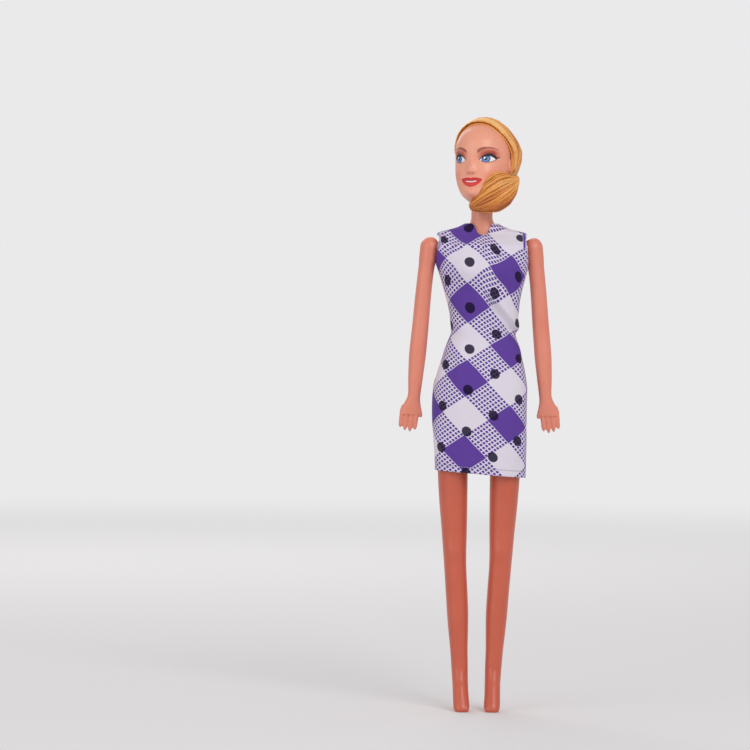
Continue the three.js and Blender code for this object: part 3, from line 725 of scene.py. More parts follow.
@dataclass(frozen=True)
class Vinyl(Finish):
    """Skin-toned vinyl or plastic with a soft sheen and faint mottling."""

    colour: Colour
    deep: Colour
    roughness: float = 0.42

    def skin(self, shader: Shader) -> tuple[Value, Value, Value]:
        """Colour, roughness and normal of the bare vinyl.

        Args:
            shader: The material's nodes.

        Returns:
            The three values.
        """
        place = shader.place()
        cloud = shader.grain(place, 60.0, 2.0)
        fine = shader.grain(place, 900.0, 4.0, 0.6)
        colour = shader.mix(cloud.over(0.35, 0.75) * 0.35, self.colour, self.deep)
        roughness = fine * 0.12 + (self.roughness - 0.06)
        return colour, roughness, shader.bump(fine, 0.00003)

    def make(self, shader: Shader) -> bpy.types.Material:
        """Builds the material."""
        colour, roughness, normal = self.skin(shader)
        return shader.finish(colour, roughness, normal, Coat_Weight=0.12, Coat_Roughness=0.3)


@dataclass(frozen=True)
class PaintedFace(Vinyl):
    """Head vinyl with the sprayed and printed face: eyes, lids, brows, blush and lips."""

    eye_out: float = EYE_OUT
    eye_height: float = 238.2
    eye_half_width: float = 3.0
    lid_rise: float = 1.95
    lid_drop: float = 1.15
    glance: float = -0.6
    iris_radius: float = 1.6
    brow_height: float = 243.2
    mouth_height: float = MOUTH_HEIGHT
    mouth_half_width: float = 4.9
    blush_paint: Colour = srgb(231, 120, 104)
    nose_shade: Colour = srgb(176, 84, 66)
    lid_paint: Colour = srgb(176, 48, 34)
    crease_paint: Colour = srgb(112, 30, 26)
    eye_white: Colour = srgb(238, 238, 244)
    iris_middle: Colour = srgb(106, 160, 218)
    iris_edge: Colour = srgb(28, 70, 146)
    iris_shade: Colour = srgb(20, 36, 84)
    iris_ring: Colour = srgb(22, 32, 74)
    pupil: Colour = srgb(12, 12, 20)
    gleam_paint: Colour = srgb(255, 255, 255)
    liner: Colour = srgb(24, 18, 26)
    brow_paint: Colour = srgb(146, 66, 42)
    lip_low: Colour = srgb(222, 60, 58)
    lip_high: Colour = srgb(196, 40, 48)
    teeth_paint: Colour = srgb(250, 244, 240)

    def make(self, shader: Shader) -> bpy.types.Material:
        """Builds the material.

        Args:
            shader: The material's nodes.

        Returns:
            The material.
        """
        colour, roughness, normal = self.skin(shader)
        axis = Matrix.Rotation(-HEAD_TURN, 3, "Z") @ Vector((0, BODY_AXIS_Y, 0))
        turned = shader.node("ShaderNodeMapping", {"vector_type": "POINT"}, {
            "Vector": shader.place(), "Rotation": (0, 0, -HEAD_TURN),
            "Scale": (1 / MM,) * 3, "Location": tuple(-axis),
        })
        x, y, z = shader.split(turned)
        front = y.over(-2.0, -4.0)
        colour = self.blush(shader, colour, x, z, front)
        colour = self.eyes(shader, colour, x, z, front)
        colour, lips = self.lips(shader, colour, x, z, front)
        gloss = roughness - lips * 0.15
        return shader.finish(colour, gloss, normal, Coat_Weight=0.12, Coat_Roughness=0.25)

    def blush(self, shader: Shader, colour: Value, x: Value, z: Value, front: Value) -> Value:
        """Sprayed warmth on the cheeks, and painted shade under the nose.

        Args:
            shader: The material.
            colour: The colour below the paint.
            x: Millimetres to the head's left.
            z: Millimetres up.
            front: 1 on the front of the head.

        Returns:
            The painted colour.
        """
        out = abs(x)
        cheek = (((out - 7.6) / 3.6) ** 2 + ((z - 231.5) / 3.4) ** 2).root().over(1.0, 0.0) * front
        colour = shader.mix(cheek * 0.45, colour, self.blush_paint)
        # Painted shade under the nose
        under = (((out - 0.95) / 0.75) ** 2 + ((z - 231.9) / 0.42) ** 2).root().over(1.1, 0.4) * front
        return shader.mix(under * 0.5, colour, self.nose_shade)

    def eyes(self, shader: Shader, colour: Value, x: Value, z: Value, front: Value) -> Value:
        """Eyeshadow with painted shade in the lid's crease, white, iris with a painted highlight, lashes
        and brow of both eyes.

        Args:
            shader: The material.
            colour: The colour below the paint.
            x: Millimetres to the head's left.
            z: Millimetres up.
            front: 1 on the front of the head.

        Returns:
            The painted colour.
        """
        out = abs(x) - self.eye_out
        share = out / self.eye_half_width
        rise = z - self.eye_height - out * 0.09
        bow = 1.0 - share * share
        inside = abs(share).over(1.06, 0.98) * front
        upper = bow.most(0.0) ** 0.75 * self.lid_rise
        lower = bow.most(0.0) ** 0.8 * -self.lid_drop
        # Eyeshadow between the lid and the brow
        lid = (rise - upper).over(-0.1, 0.5) * (rise - upper * 0.4).over(4.4, 2.4)
        lid = lid * abs(share).over(1.6, 0.7) * front
        colour = shader.mix(lid * (share.over(-1.4, 0.9) * 0.3 + 0.65), colour, self.lid_paint)
        # Painted shade in the lid's crease, a deeper red over the eyeshadow
        crease = abs(rise - upper - 0.95).over(0.4, 0.1) * abs(share).over(1.2, 0.7) * front
        colour = shader.mix(crease * 0.3, colour, self.crease_paint)
        # White of the eye
        opening = inside * (rise - upper).over(0.09, -0.09) * (rise - lower).over(-0.09, 0.09)
        colour = shader.mix(opening, colour, self.eye_white)
        # Iris, pupil and a painted highlight
        sway = out * x.sign() - self.glance
        depth = rise - 0.2
        reach = (sway * sway + depth * depth).root()
        blue = shader.mix(reach.over(0.5, self.iris_radius), self.iris_middle, self.iris_edge)
        blue = shader.mix(depth.over(0.1, 1.2) * 0.6, blue, self.iris_shade)
        within = reach.over(self.iris_radius + 0.08, self.iris_radius - 0.1)
        colour = shader.mix(opening * within, colour, blue)
        ring = (reach - self.iris_radius) * (reach - self.iris_radius)
        colour = shader.mix(opening * ring.over(0.06, 0.0) * 0.75, colour, self.iris_ring)
        colour = shader.mix(opening * reach.over(0.72, 0.58), colour, self.pupil)
        gleam = ((sway + 0.55) * (sway + 0.55) + (depth - 0.6) * (depth - 0.6)).root()
        colour = shader.mix(opening * gleam.over(0.42, 0.3), colour, self.gleam_paint)
        # Upper lash line, thicker outwards, with its wing
        thick = share.over(-1.2, 1.1) * 0.48 + 0.3
        line = abs(rise - upper - 0.08) / thick
        lash = line.over(1.1, 0.75) * abs(share + 0.02).over(1.08, 1.0)
        wing_rise = rise - 0.15 - (share - 0.95) * 1.7
        wing = abs(wing_rise).over(0.36, 0.22) * share.over(0.85, 0.95) * share.over(1.34, 1.16)
        tips = (rise - upper).over(0.15, 0.3) * (rise - upper).over(1.15, 0.75)
        comb = abs((out * 2.1 - (rise - upper) * 1.1).part() - 0.5).over(0.24, 0.12)
        tips = tips * comb * share.over(0.05, 0.4) * share.over(1.5, 1.2)
        lower_line = abs(rise - lower + 0.06).over(0.17, 0.08) * abs(share).over(1.02, 0.9) * 0.6
        drops = (rise - lower).over(0.02, -0.1) * (rise - lower).over(-0.75, -0.55)
        dots = drops * abs((out * 1.7).part() - 0.5).over(0.22, 0.12) * share.over(-0.6, -0.3)
        dots = dots * share.over(1.15, 0.95)
        dark = lash.most(wing).most(tips).most(lower_line).most(dots * 0.8) * front
        colour = shader.mix(dark, colour, self.liner)
        # Brow: a thin arch that thins outwards
        arch = z - self.brow_height + (out - 0.6) * (out - 0.6) * 0.085
        weight = out.over(4.2, -3.5) * 0.6 + 0.2
        brow = (abs(arch) / weight).over(1.15, 0.6) * out.over(-4.2, -3.6) * out.over(3.9, 3.2)
        hairs = abs((out * 2.6 + z * 1.3).part() - 0.5) * 0.5 + 0.72
        return shader.mix(brow * front * hairs, colour, self.brow_paint)

    def lips(
        self, shader: Shader, colour: Value, x: Value, z: Value, front: Value
    ) -> tuple[Value, Value]:
        """Smiling lips with a sliver of teeth.

        Args:
            shader: The material.
            colour: The colour below the paint.
            x: Millimetres to the head's left.
            z: Millimetres up.
            front: 1 on the front of the head.

        Returns:
            The painted colour, and 1 on the lips.
        """
        share = x / self.mouth_half_width
        bow = (1.0 - share * share).most(0.0)
        rise = z - self.mouth_height - share * share * 1.1
        dip = abs(x).over(1.0, 0.0) * 0.32
        top = bow**0.8 * 1.95 - dip
        base = bow**0.7 * -2.1
        mask = (rise - top).over(0.1, -0.1) * (rise - base).over(-0.1, 0.1) * front
        mask = mask * abs(share).over(1.02, 0.96)
        red = shader.mix(rise.over(-1.4, 1.0), self.lip_low, self.lip_high)
        colour = shader.mix(mask, colour, red)
        teeth = (rise - bow * 0.26 - 0.1).over(0.06, -0.06)
        teeth = teeth * (rise + bow * 0.24 - 0.1).over(-0.06, 0.06)
        teeth = teeth * abs(share).over(0.56, 0.42) * mask
        colour = shader.mix(teeth, colour, self.teeth_paint)
        return colour, mask


@dataclass(frozen=True)
class HairFibre(Finish):
    """Combed golden fibre, streaked along each lock, with a painted highlight on the front locks and
    painted shade on the hair under the jaw.
    """

    light: Colour
    middle: Colour
    dark: Colour

    def make(self, shader: Shader) -> bpy.types.Material:
        """Builds the material.

        Args:
            shader: The material's nodes.

        Returns:
            The material.
        """
        across, length, _ = shader.split(shader.cloth_place())
        lock = shader.node("ShaderNodeTexWhiteNoise", {"noise_dimensions": "1D"}, {"W": across.floor()})
        streak = shader.grain(shader.join(across * 9.0, length * 0.06, 0.0), 1.0, 4.0, 0.65)
        cloud = shader.grain(shader.place(), 120.0, 2.0)
        # Painted highlight: the locks by the front hairline are lighter. Painted shade: the hair below the
        # mouth, under the jaw, is darker.
        height = shader.split(shader.place())[2]
        front_lock_highlight = across.over(5.0, 9.0) * across.over(27.0, 17.0) * 0.45
        tone = lock * 0.5 + streak * 0.75 + cloud * 0.35 - 0.3 + front_lock_highlight - height.over(0.229, 0.217) * 0.3
        stops = [(0.0, self.dark), (0.45, self.middle), (1.0, self.light)]
        colour = shader.node("ShaderNodeValToRGB", {"stops": stops}, {0: tone})
        fibre = shader.grain(shader.join(across * 26.0, length * 0.12, 0.0), 1.0, 3.0, 0.6)
        return shader.finish(
            colour, streak * 0.2 + 0.3, shader.bump(fibre, 0.00008), Coat_Weight=0.15, Coat_Roughness=0.3
        )


@dataclass(frozen=True)
class PrintCotton(Finish):
    """White cotton printed with a bias check, fine squares and dark dots, in the cloth's millimetres."""

    ground: Colour
    ink: Colour
    dot_ink: Colour
    check_half_width: float = 9.6
    check_half_height: float = 8.15
    check_across: float = -6.9
    check_up: float = 142.8
    squares_per_check: int = 8
    slant: float = 0.105
    dart_take_up: float = 3.4
    dot_radius: float = 2.15
    dot_column: float = 11.3
    dot_rise: float = 17.9
    dot_across: float = 5.4
    dot_up: float = 146.9
    hem_up: float = 102.6
    hem_depth: float = 2.6
    thread_turns: float = 22.0
    weave_shade: Colour = srgb(90, 80, 110)
    thread: Colour = srgb(246, 244, 250)
    hem_shade: Colour = srgb(120, 110, 140)

    def make(self, shader: Shader) -> bpy.types.Material:
        """Builds the material.

        Args:
            shader: The material's nodes.

        Returns:
            The material.
        """
        across, up, _ = shader.split(shader.cloth_place())
        level = up + across * self.slant - up.over(168, 200) * self.dart_take_up
        wander = (shader.grain(shader.place(), 140.0, 2.0) - 0.5) * 0.5
        ink = self.check(across + wander, level + wander)
        dot = self.dots(across + wander, level)
        worn = shader.grain(shader.join(across, up, 0.0), 2.4, 4.0, 0.7)
        colour = shader.mix(ink * (worn.over(0.15, 0.45) * 0.14 + 0.84), self.ground, self.ink)
        colour = shader.mix(dot * 0.95, colour, self.dot_ink)
        threads = self.weave(across, up)
        shade = shader.mix(threads * 0.07, colour, self.weave_shade, "MULTIPLY")
        above_hem = up - (self.hem_up + self.hem_depth)
        stitch = abs(above_hem).over(0.16, 0.06) * abs((across * 0.85).part() - 0.5).over(0.36, 0.28)
        turned = above_hem.over(0.1, -0.1)
        shade = shader.mix(stitch * 0.6, shade, self.thread)
        crease = abs(above_hem - 0.3).over(0.3, 0.0)
        shade = shader.mix(crease * 0.25, shade, self.hem_shade, "MULTIPLY")
        relief = shader.bump(threads * 0.3 + worn * 0.25 + turned * 1.6 - stitch * 1.2, 0.00014)
        return shader.finish(shade, worn * 0.1 + 0.78, relief, Sheen_Weight=0.04, Specular_IOR_Level=0.2)

    def check(self, across: Value, level: Value) -> Value:
        """Args:
            across: Millimetres across the cloth.
            level: Millimetres up it.

        Returns:
            The ink's share.
        """
        right = (across - self.check_across) / (2 * self.check_half_width)
        rise = (level - self.check_up) / (2 * self.check_half_height)
        first, second = right + rise + 0.5, right - rise + 0.5
        one = abs((first * 0.5).floor() * 2.0 - first.floor())
        two = abs((second * 0.5).floor() * 2.0 - second.floor())
        solid = (1.0 - one) * (1.0 - two)
        mixed = one + two - one * two * 2.0
        count = float(self.squares_per_check)
        square = abs((first * count).part() - 0.5).over(0.37, 0.31)
        square = square * abs((second * count).part() - 0.5).over(0.37, 0.31)
        return solid.most(mixed * square)

    def dots(self, across: Value, level: Value) -> Value:
        """1 on the dark dots, whose columns are staggered by half a step.

        Args:
            across: Millimetres across the cloth.
            level: Millimetres up it.

        Returns:
            The dots' share.
        """
        column = (across - self.dot_across) / self.dot_column + 0.5
        odd = abs((column.floor() * 0.5).part() * 2.0)
        sideways = (column.part() - 0.5) * self.dot_column
        row = (level - self.dot_up) / self.dot_rise + odd * 0.5 + 0.5
        rise = (row.part() - 0.5) * self.dot_rise
        reach = (sideways * sideways + rise * rise).root()
        return reach.over(self.dot_radius + 0.12, self.dot_radius - 0.12)

    def weave(self, across: Value, up: Value) -> Value:
        """Plain weave, three to four threads to the millimetre."""
        return (across * self.thread_turns).sine() * (up * self.thread_turns).sine() * 0.5 + 0.5


@dataclass(frozen=True)
class PlainCloth(Finish):
    """Plain white woven tape."""

    colour: Colour
    shade: Colour
    fuzz: float

    def make(self, shader: Shader) -> bpy.types.Material:
        """Builds the material.

        Args:
            shader: The material's nodes.

        Returns:
            The material.
        """
        fine = shader.grain(shader.place(), 2600.0, 4.0, 0.7)
        colour = shader.mix(fine.over(0.3, 0.8) * 0.3, self.colour, self.shade)
        return shader.finish(colour, fine * 0.15 + 0.75, shader.bump(fine, self.fuzz), Sheen_Weight=0.2)


@dataclass(frozen=True)
class MouldedPlastic(Finish):
    """Plain moulded plastic or rubber."""

    colour: Colour
    roughness: float
    tint: Colour = srgb(150, 120, 90)

    def make(self, shader: Shader) -> bpy.types.Material:
        """Builds the material.

        Args:
            shader: The material's nodes.

        Returns:
            The material.
        """
        cloud = shader.grain(shader.place(), 400.0, 3.0)
        colour = shader.mix(cloud * 0.2, self.colour, self.tint)
        return shader.finish(colour, cloud * 0.1 + self.roughness, shader.bump(cloud, 0.00004))


BODY_VINYL = Vinyl("body_vinyl", "body_vinyl", srgb(228, 150, 124), srgb(218, 126, 102), 0.4)
ARM_VINYL = Vinyl("arm_vinyl", "arm_vinyl", srgb(227, 138, 114), srgb(216, 116, 97), 0.4)
# The legs' vinyl is a more orange plastic than the arms', and it is also painted darker as the shade that
# falls on the legs.
LEG_VINYL_TINTED_AND_SHADED = Vinyl("leg_vinyl", "leg_vinyl", srgb(203, 96, 70), srgb(190, 81, 59), 0.34)
HEAD_VINYL = PaintedFace("head_vinyl", "head_vinyl", srgb(237, 163, 135), srgb(231, 147, 117), 0.4)
HAIR = HairFibre("hair", "hair", srgb(255, 208, 136), srgb(232, 152, 64), srgb(172, 88, 38))
COTTON = PrintCotton(
    "print_cotton", "print_cotton", srgb(228, 222, 234), srgb(92, 54, 156), srgb(24, 6, 50)
)
TAPE = PlainCloth("closure_tape", "closure_tape", srgb(240, 239, 238), srgb(176, 166, 190), 0.0003)
STUD = MouldedPlastic("stud_plastic", "stud_plastic", srgb(228, 218, 200), 0.4)
ELASTIC = MouldedPlastic("hair_elastic", "elastic", srgb(206, 158, 96), 0.6)


# The bare figure


@dataclass
class Girth:
    """A section of the body or of the dress."""

    half_width: float
    front: float
    back: float
    squareness: float

    def eased(self, half_width: float, front: float, back: float, squareness: float) -> Girth:
        """The same section with ease."""
        ease_by = (half_width, front, back, squareness)
        return Girth(*(own + more for own, more in zip(astuple(self), ease_by)))


HIP = Girth(17.4, 9.4, 10.4, 2.3)
WAIST = Girth(10.2, 7.6, 7.2, 2.2)
BUST = Girth(16.4, 11, 9.2, 2.3)
SHOULDER = Girth(20.5, 8.2, 8, 2.6)
SHOULDER_TIP = Girth(18.6, 5.2, 4.8, 2.3)
NECK = Girth(4.6, 4.6, 4.6, 2)

HIP_HEIGHT = 131.0
SHOULDER_HEIGHT = 200.3
NECK_TOP = 217.0
SHOULDER_FACE = 17.9
BUST_PLACE = 0.866
WAIST_PLACE = 0.49

# Place up the torso (0 hip, 1 shoulder, 2 top of the neck), lift of an offset, shares of the six girths
TORSO_SHARES: Rows = (
    (-0.144, -1, 0.4, 0, 0, 0, 0, 0),
    (-0.125, -0.8, 0.62, 0, 0, 0, 0, 0),
    (-0.07, 0, 0.9, 0, 0, 0, 0, 0),
    (0, 0, 1, 0, 0, 0, 0, 0),
    (0.12, 0, 0.97, 0.03, 0, 0, 0, 0),
    (0.2, 0, 0.83, 0.17, 0, 0, 0, 0),
    (0.346, 0, 0.42, 0.58, 0, 0, 0, 0),
    (0.49, 0, 0, 1, 0, 0, 0, 0),
    (0.635, 0, 0, 0.74, 0.26, 0, 0, 0),
    (0.736, 0, 0, 0.45, 0.55, 0, 0, 0),
    (0.866, 0, 0, 0, 1, 0, 0, 0),
    (0.925, 0, 0, 0, 0.5, 0.5, 0, 0),
    (1, 0, 0, 0, 0, 1, 0, 0),
    (1.18, 0.3, 0, 0, 0, 0.5, 0.5, 0),
    (1.341, 1, 0, 0, 0, 0, 1, 0),
    (1.401, 1, 0, 0, 0, 0, 0.71, 0.29),
    (1.485, 1, 0, 0, 0, 0, 0.36, 0.64),
    (1.58, 1, 0, 0, 0, 0, 0.14, 0.86),
    (1.7, 0.6, 0, 0, 0, 0, 0.03, 0.97),
    (1.79, 0, 0, 0, 0, 0, 0, 1),
    (2, 0, 0, 0, 0, 0, 0, 1),
)


def torso_height(place: float) -> float:
    """Height of a place up the torso and neck.

    Args:
        place: 0 at the hips, 1 at the shoulders and 2 on the neck.

    Returns:
        The height in millimetres.
    """
    if place <= 1:
        return HIP_HEIGHT + place * (SHOULDER_HEIGHT - HIP_HEIGHT)
    return SHOULDER_HEIGHT + (place - 1) * (NECK_TOP - SHOULDER_HEIGHT)


def station_rows(girths: Sequence[Girth], shares: Rows, offset: float) -> list[tuple[float, ...]]:
    """Sections up the body or the dress.

    Args:
        girths: The six girths.
        shares: Rows of place, lift and the girths' shares.
        offset: How far the surface stands off.

    Returns:
        Rows of height, half width, front, back and squareness.
    """
    keys = ("half_width", "front", "back", "squareness")
    rows = []
    for place, lift, *weights in shares:
        half_width, front, back, squareness = (
            sum(getattr(girth, key) * weight for girth, weight in zip(girths, weights)) for key in keys
        )
        height = torso_height(place) + lift * offset
        reach = (half_width + offset, front + offset, back + offset)
        rows.append((height, *reach, squareness / sum(weights)))
    return rows


def bust_swell(x: float, height: float, spread: float) -> float:
    """Forward swell of the breasts at a point of the chest.

    Args:
        x: Millimetres to the left.
        height: Millimetres up.
        spread: Spread of each swell.

    Returns:
        The swell in millimetres.
    """
    spacing = BUST.half_width * 0.435
    across = bell(x - spacing, spread) + bell(x + spacing, spread)
    return 2.6 * across * bell(height - torso_height(BUST_PLACE), 6.3)


@dataclass
class Torso:
    """Both torso shells with the neck, smooth outside, and the studs that stay bare."""

    sides: int = 96
    rings: int = 130
    disc_radius: float = 10.9
    web_half_width: float = 4.2
    seam: float = 0.07
    crease: float = math.radians(40)
    swing_room: float = 60.0
    swing_depth: float = 50.0

    def outside(self) -> bmesh.types.BMesh:
        """The torso's outside as one closed body.

        Returns:
            The mesh.
        """
        rows = station_rows((HIP, WAIST, BUST, SHOULDER, SHOULDER_TIP, NECK), TORSO_SHARES, 0.0)
        rings = []
        for height in steps(rows[0][0], NECK_TOP, self.rings):
            half_width, front, back, squareness = follow(rows, height)
            ring = []
            for turn in turns(self.sides):
                point = section_point(turn, half_width, front, back, squareness)
                swell = bust_swell(point.x, height, 4.2) * max(0.0, math.cos(turn))
                x = min(max(point.x, -SHOULDER_FACE), SHOULDER_FACE)
                ring.append(Vector((x, point.y - swell, height)))
            rings.append(ring)
        bm = bmesh.new()
        add_skin(bm, rings)
        return bm

    def hip_room(self, side: Side) -> list[bpy.types.Object]:
        """Cutters for one hip disc and the thigh's swing.

        Args:
            side: The side.

        Returns:
            The cutters.
        """
        reach, depth = self.swing_room, self.swing_depth
        middle = side.value * (self.web_half_width + reach / 2)
        disc = bmesh.new()
        turn = Matrix.Translation((middle, 0, HIP_HEIGHT)) @ Matrix.Rotation(math.pi / 2, 4, "Y")
        bmesh.ops.create_cone(
            disc, cap_ends=True, segments=72, radius1=self.disc_radius, radius2=self.disc_radius,
            depth=reach, matrix=turn,
        )
        low = HIP_HEIGHT - reach
        cutters = [to_object(f"{side.word}_disc_room", disc)]
        rooms = (("swing", 0.0, HIP_HEIGHT + self.disc_radius), ("below", depth, HIP_HEIGHT))
        for name, back, top in rooms:
            box = bmesh.new()
            size = Matrix.Diagonal((reach, depth + back, top - low, 1.0))
            at = Matrix.Translation((middle, (back - depth) / 2, (top + low) / 2))
            bmesh.ops.create_cube(box, size=1.0, matrix=at @ size)
            cutters.append(to_object(f"{side.word}_{name}_room", box))
        return cutters

    def build(self) -> None:
        """Makes the two shells and finishes the hidden studs."""
        whole = to_object("torso", self.outside())
        for side in Side:
            for cutter in self.hip_room(side):
                cut_away(whole, cutter)
        for name, facing in (("front", -1), ("back", 1)):
            half = bmesh.new()
            half.from_mesh(whole.data)
            cut = bmesh.ops.bisect_plane(
                half,
                geom=[*half.verts, *half.edges, *half.faces],
                plane_co=(0, (BODY_AXIS_Y + facing * self.seam) * MM, 0),
                plane_no=(0, facing, 0),
                clear_inner=True,
            )["geom_cut"]
            edges = [item for item in cut if isinstance(item, bmesh.types.BMEdge)]
            bmesh.ops.triangle_fill(half, use_beauty=True, edges=edges)
            bmesh.ops.recalc_face_normals(half, faces=half.faces)
            piece = mesh_object(f"torso_{name}_shell", half)
            piece.data.set_sharp_from_angle(angle=self.crease)
            dress_up(piece, BODY_VINYL, "torso", [f"torso_{name}"])
        bpy.data.objects.remove(whole)
        joints = ("shoulder", "hip")
        studs = [f"{side.word}_{joint}_stud" for side in Side for joint in joints]
        finish_packed(["neck_knob", *studs], STUD)


@dataclass
class Arm:
    """One soft arm with its hand, the back of the hand to the front."""

    side: Side
    length: float = 64.0
    palm_length: float = 8.0
    finger_length: float = 7.6
    finger_radius: float = 1.15
    knuckle: float = 4.2
    half_width: float = 3.6
    half_depth: float = 4.3
    palm_half_width: float = 4.4
    palm_half_depth: float = 1.6
    face: float = 18.4
    splay: float = 6.0
    hand_splay: float = math.radians(13)
    cap_radius: float = 4.9

    SHARES: Rows = (
        (0, 0, 1.17, 1.12),
        (0.063, 0.08, 1.14, 1.1),
        (0.125, 0.21, 0.98, 1.04),
        (0.22, 0.33, 0.96, 0.98),
        (0.34, 0.45, 0.97, 0.93),
        (0.52, 0.6, 1, 0.87),
        (0.7, 0.77, 1.03, 0.88),
        (0.875, 0.91, 0.9, 0.72),
        (1, 1, 0.76, 0.53),
    )
    PALM: Rows = ((0.3, 0.25, 0.3), (0.65, 0.85, 0.7), (0.9, 1, 1.25), (1.06, 0.96, 1.5))
    FINGERS: Rows = ((0.76, 0.74), (0.93, 0.26), (1, -0.24), (0.9, -0.72))

    def rows(self) -> list[tuple[float, ...]]:
        """Rows of drop, distance out, half width and half depth down to the knuckles.

        Returns:
            The rows.
        """
        centre = self.face + 4.1
        width, depth = self.half_width, self.half_depth
        rows = [
            (drop * self.length, centre + splay * self.splay, wide * width, deep * depth)
            for drop, splay, wide, deep in self.SHARES
        ]
        wrist = rows[-1]
        for drop, wide, deep in self.PALM:
            rows.append((
                wrist[0] + drop * self.palm_length,
                wrist[1] + drop * self.palm_length * math.tan(self.hand_splay),
                wrist[2] + wide * (self.palm_half_width - wrist[2]),
                wrist[3] + deep * (self.palm_half_depth - wrist[3]),
            ))
        return rows

    def inner_sides(self) -> Callable[[float], float]:
        """The arm's inner side as a function of the distance from the shoulder's axis.

        Returns:
            The function.
        """
        rows = self.rows()

        def inner_side(distance: float) -> float:
            """The inner side that the arm's turning sweeps at a distance."""
            out, half_width, _ = follow(rows, distance)
            return max(self.face, out - half_width)

        return inner_side

    def add_finger(self, bm: bmesh.types.BMesh, root: Vector, slant: float, length: float) -> None:
        """One finger or the thumb, with its joints slightly waisted.

        Args:
            bm: The mesh that it goes into.
            root: Its start inside the palm.
            slant: Its slant outwards, in radians.
            length: Its length.
        """
        path, radii = [], []
        for share in steps(0, 1, 14):
            path.append(root + Vector((
                self.side.value * share * length * math.sin(slant),
                share * share * self.finger_radius * 1.2,
                -share * length * math.cos(slant),
            )))
            waist = 1 - 0.07 * (bell(share - 0.42, 0.06) + bell(share - 0.7, 0.06))
            tip = math.sqrt(max(0.02, 1 - max(0.0, (share - 0.8) / 0.2) ** 2))
            root_share = 0.5 + 0.5 * ease(share, 0, 0.3)
            radii.append(self.finger_radius * (1.04 - 0.24 * share) * waist * tip * root_share)
        add_tube(bm, path, radii, 14, 0.92)

    def build(self) -> None:
        """Makes the arm."""
        rows = self.rows()
        centre, wide, deep = rows[0][1:]
        bm = bmesh.new()
        rings = []
        heights = [self.cap_radius * math.sin(angle) for angle in steps(-1.45, 0, 9)][:-1]
        for drop in [*heights, *steps(0, rows[-1][0], 60)]:
            if drop < 0:
                share = math.sqrt(1 - (drop / self.cap_radius) ** 2)
                out, half_width, half_depth = centre, wide * share, deep * share
            else:
                out, half_width, half_depth = follow(rows, drop)
            ring = []
            for turn in turns(40):
                point = section_point(turn, half_width, half_depth, half_depth, 2.1)
                crook = 0.25 * bell(drop - 31, 2.0) * max(0.0, -math.cos(turn))
                x = max(self.face, out + point.x)
                ring.append(Vector((self.side.value * x, point.y - crook, SHOULDER_HEIGHT - drop)))
            rings.append(ring)
        add_skin(bm, rings)
        drop, out = rows[-1][:2]
        for length, across in self.FINGERS:
            root = Vector((
                self.side.value * (out + across * self.palm_half_width - self.knuckle * 0.1),
                0,
                SHOULDER_HEIGHT - drop + self.knuckle,
            ))
            self.add_finger(bm, root, self.hand_splay / 2, length * self.finger_length + self.knuckle)
        thumb = Vector((
            self.side.value * (out - self.palm_half_width + self.finger_radius),
            -self.finger_radius / 3,
            SHOULDER_HEIGHT - self.length - self.palm_length / 4,
        ))
        self.add_finger(bm, thumb, -self.hand_splay, 8.0)
        piece = to_object(f"{self.side.word}_arm_vinyl", bm)
        fuse(piece, 0.3, 4)
        body = f"{self.side.word}_arm"
        dress_up(piece, ARM_VINYL, body, [body])


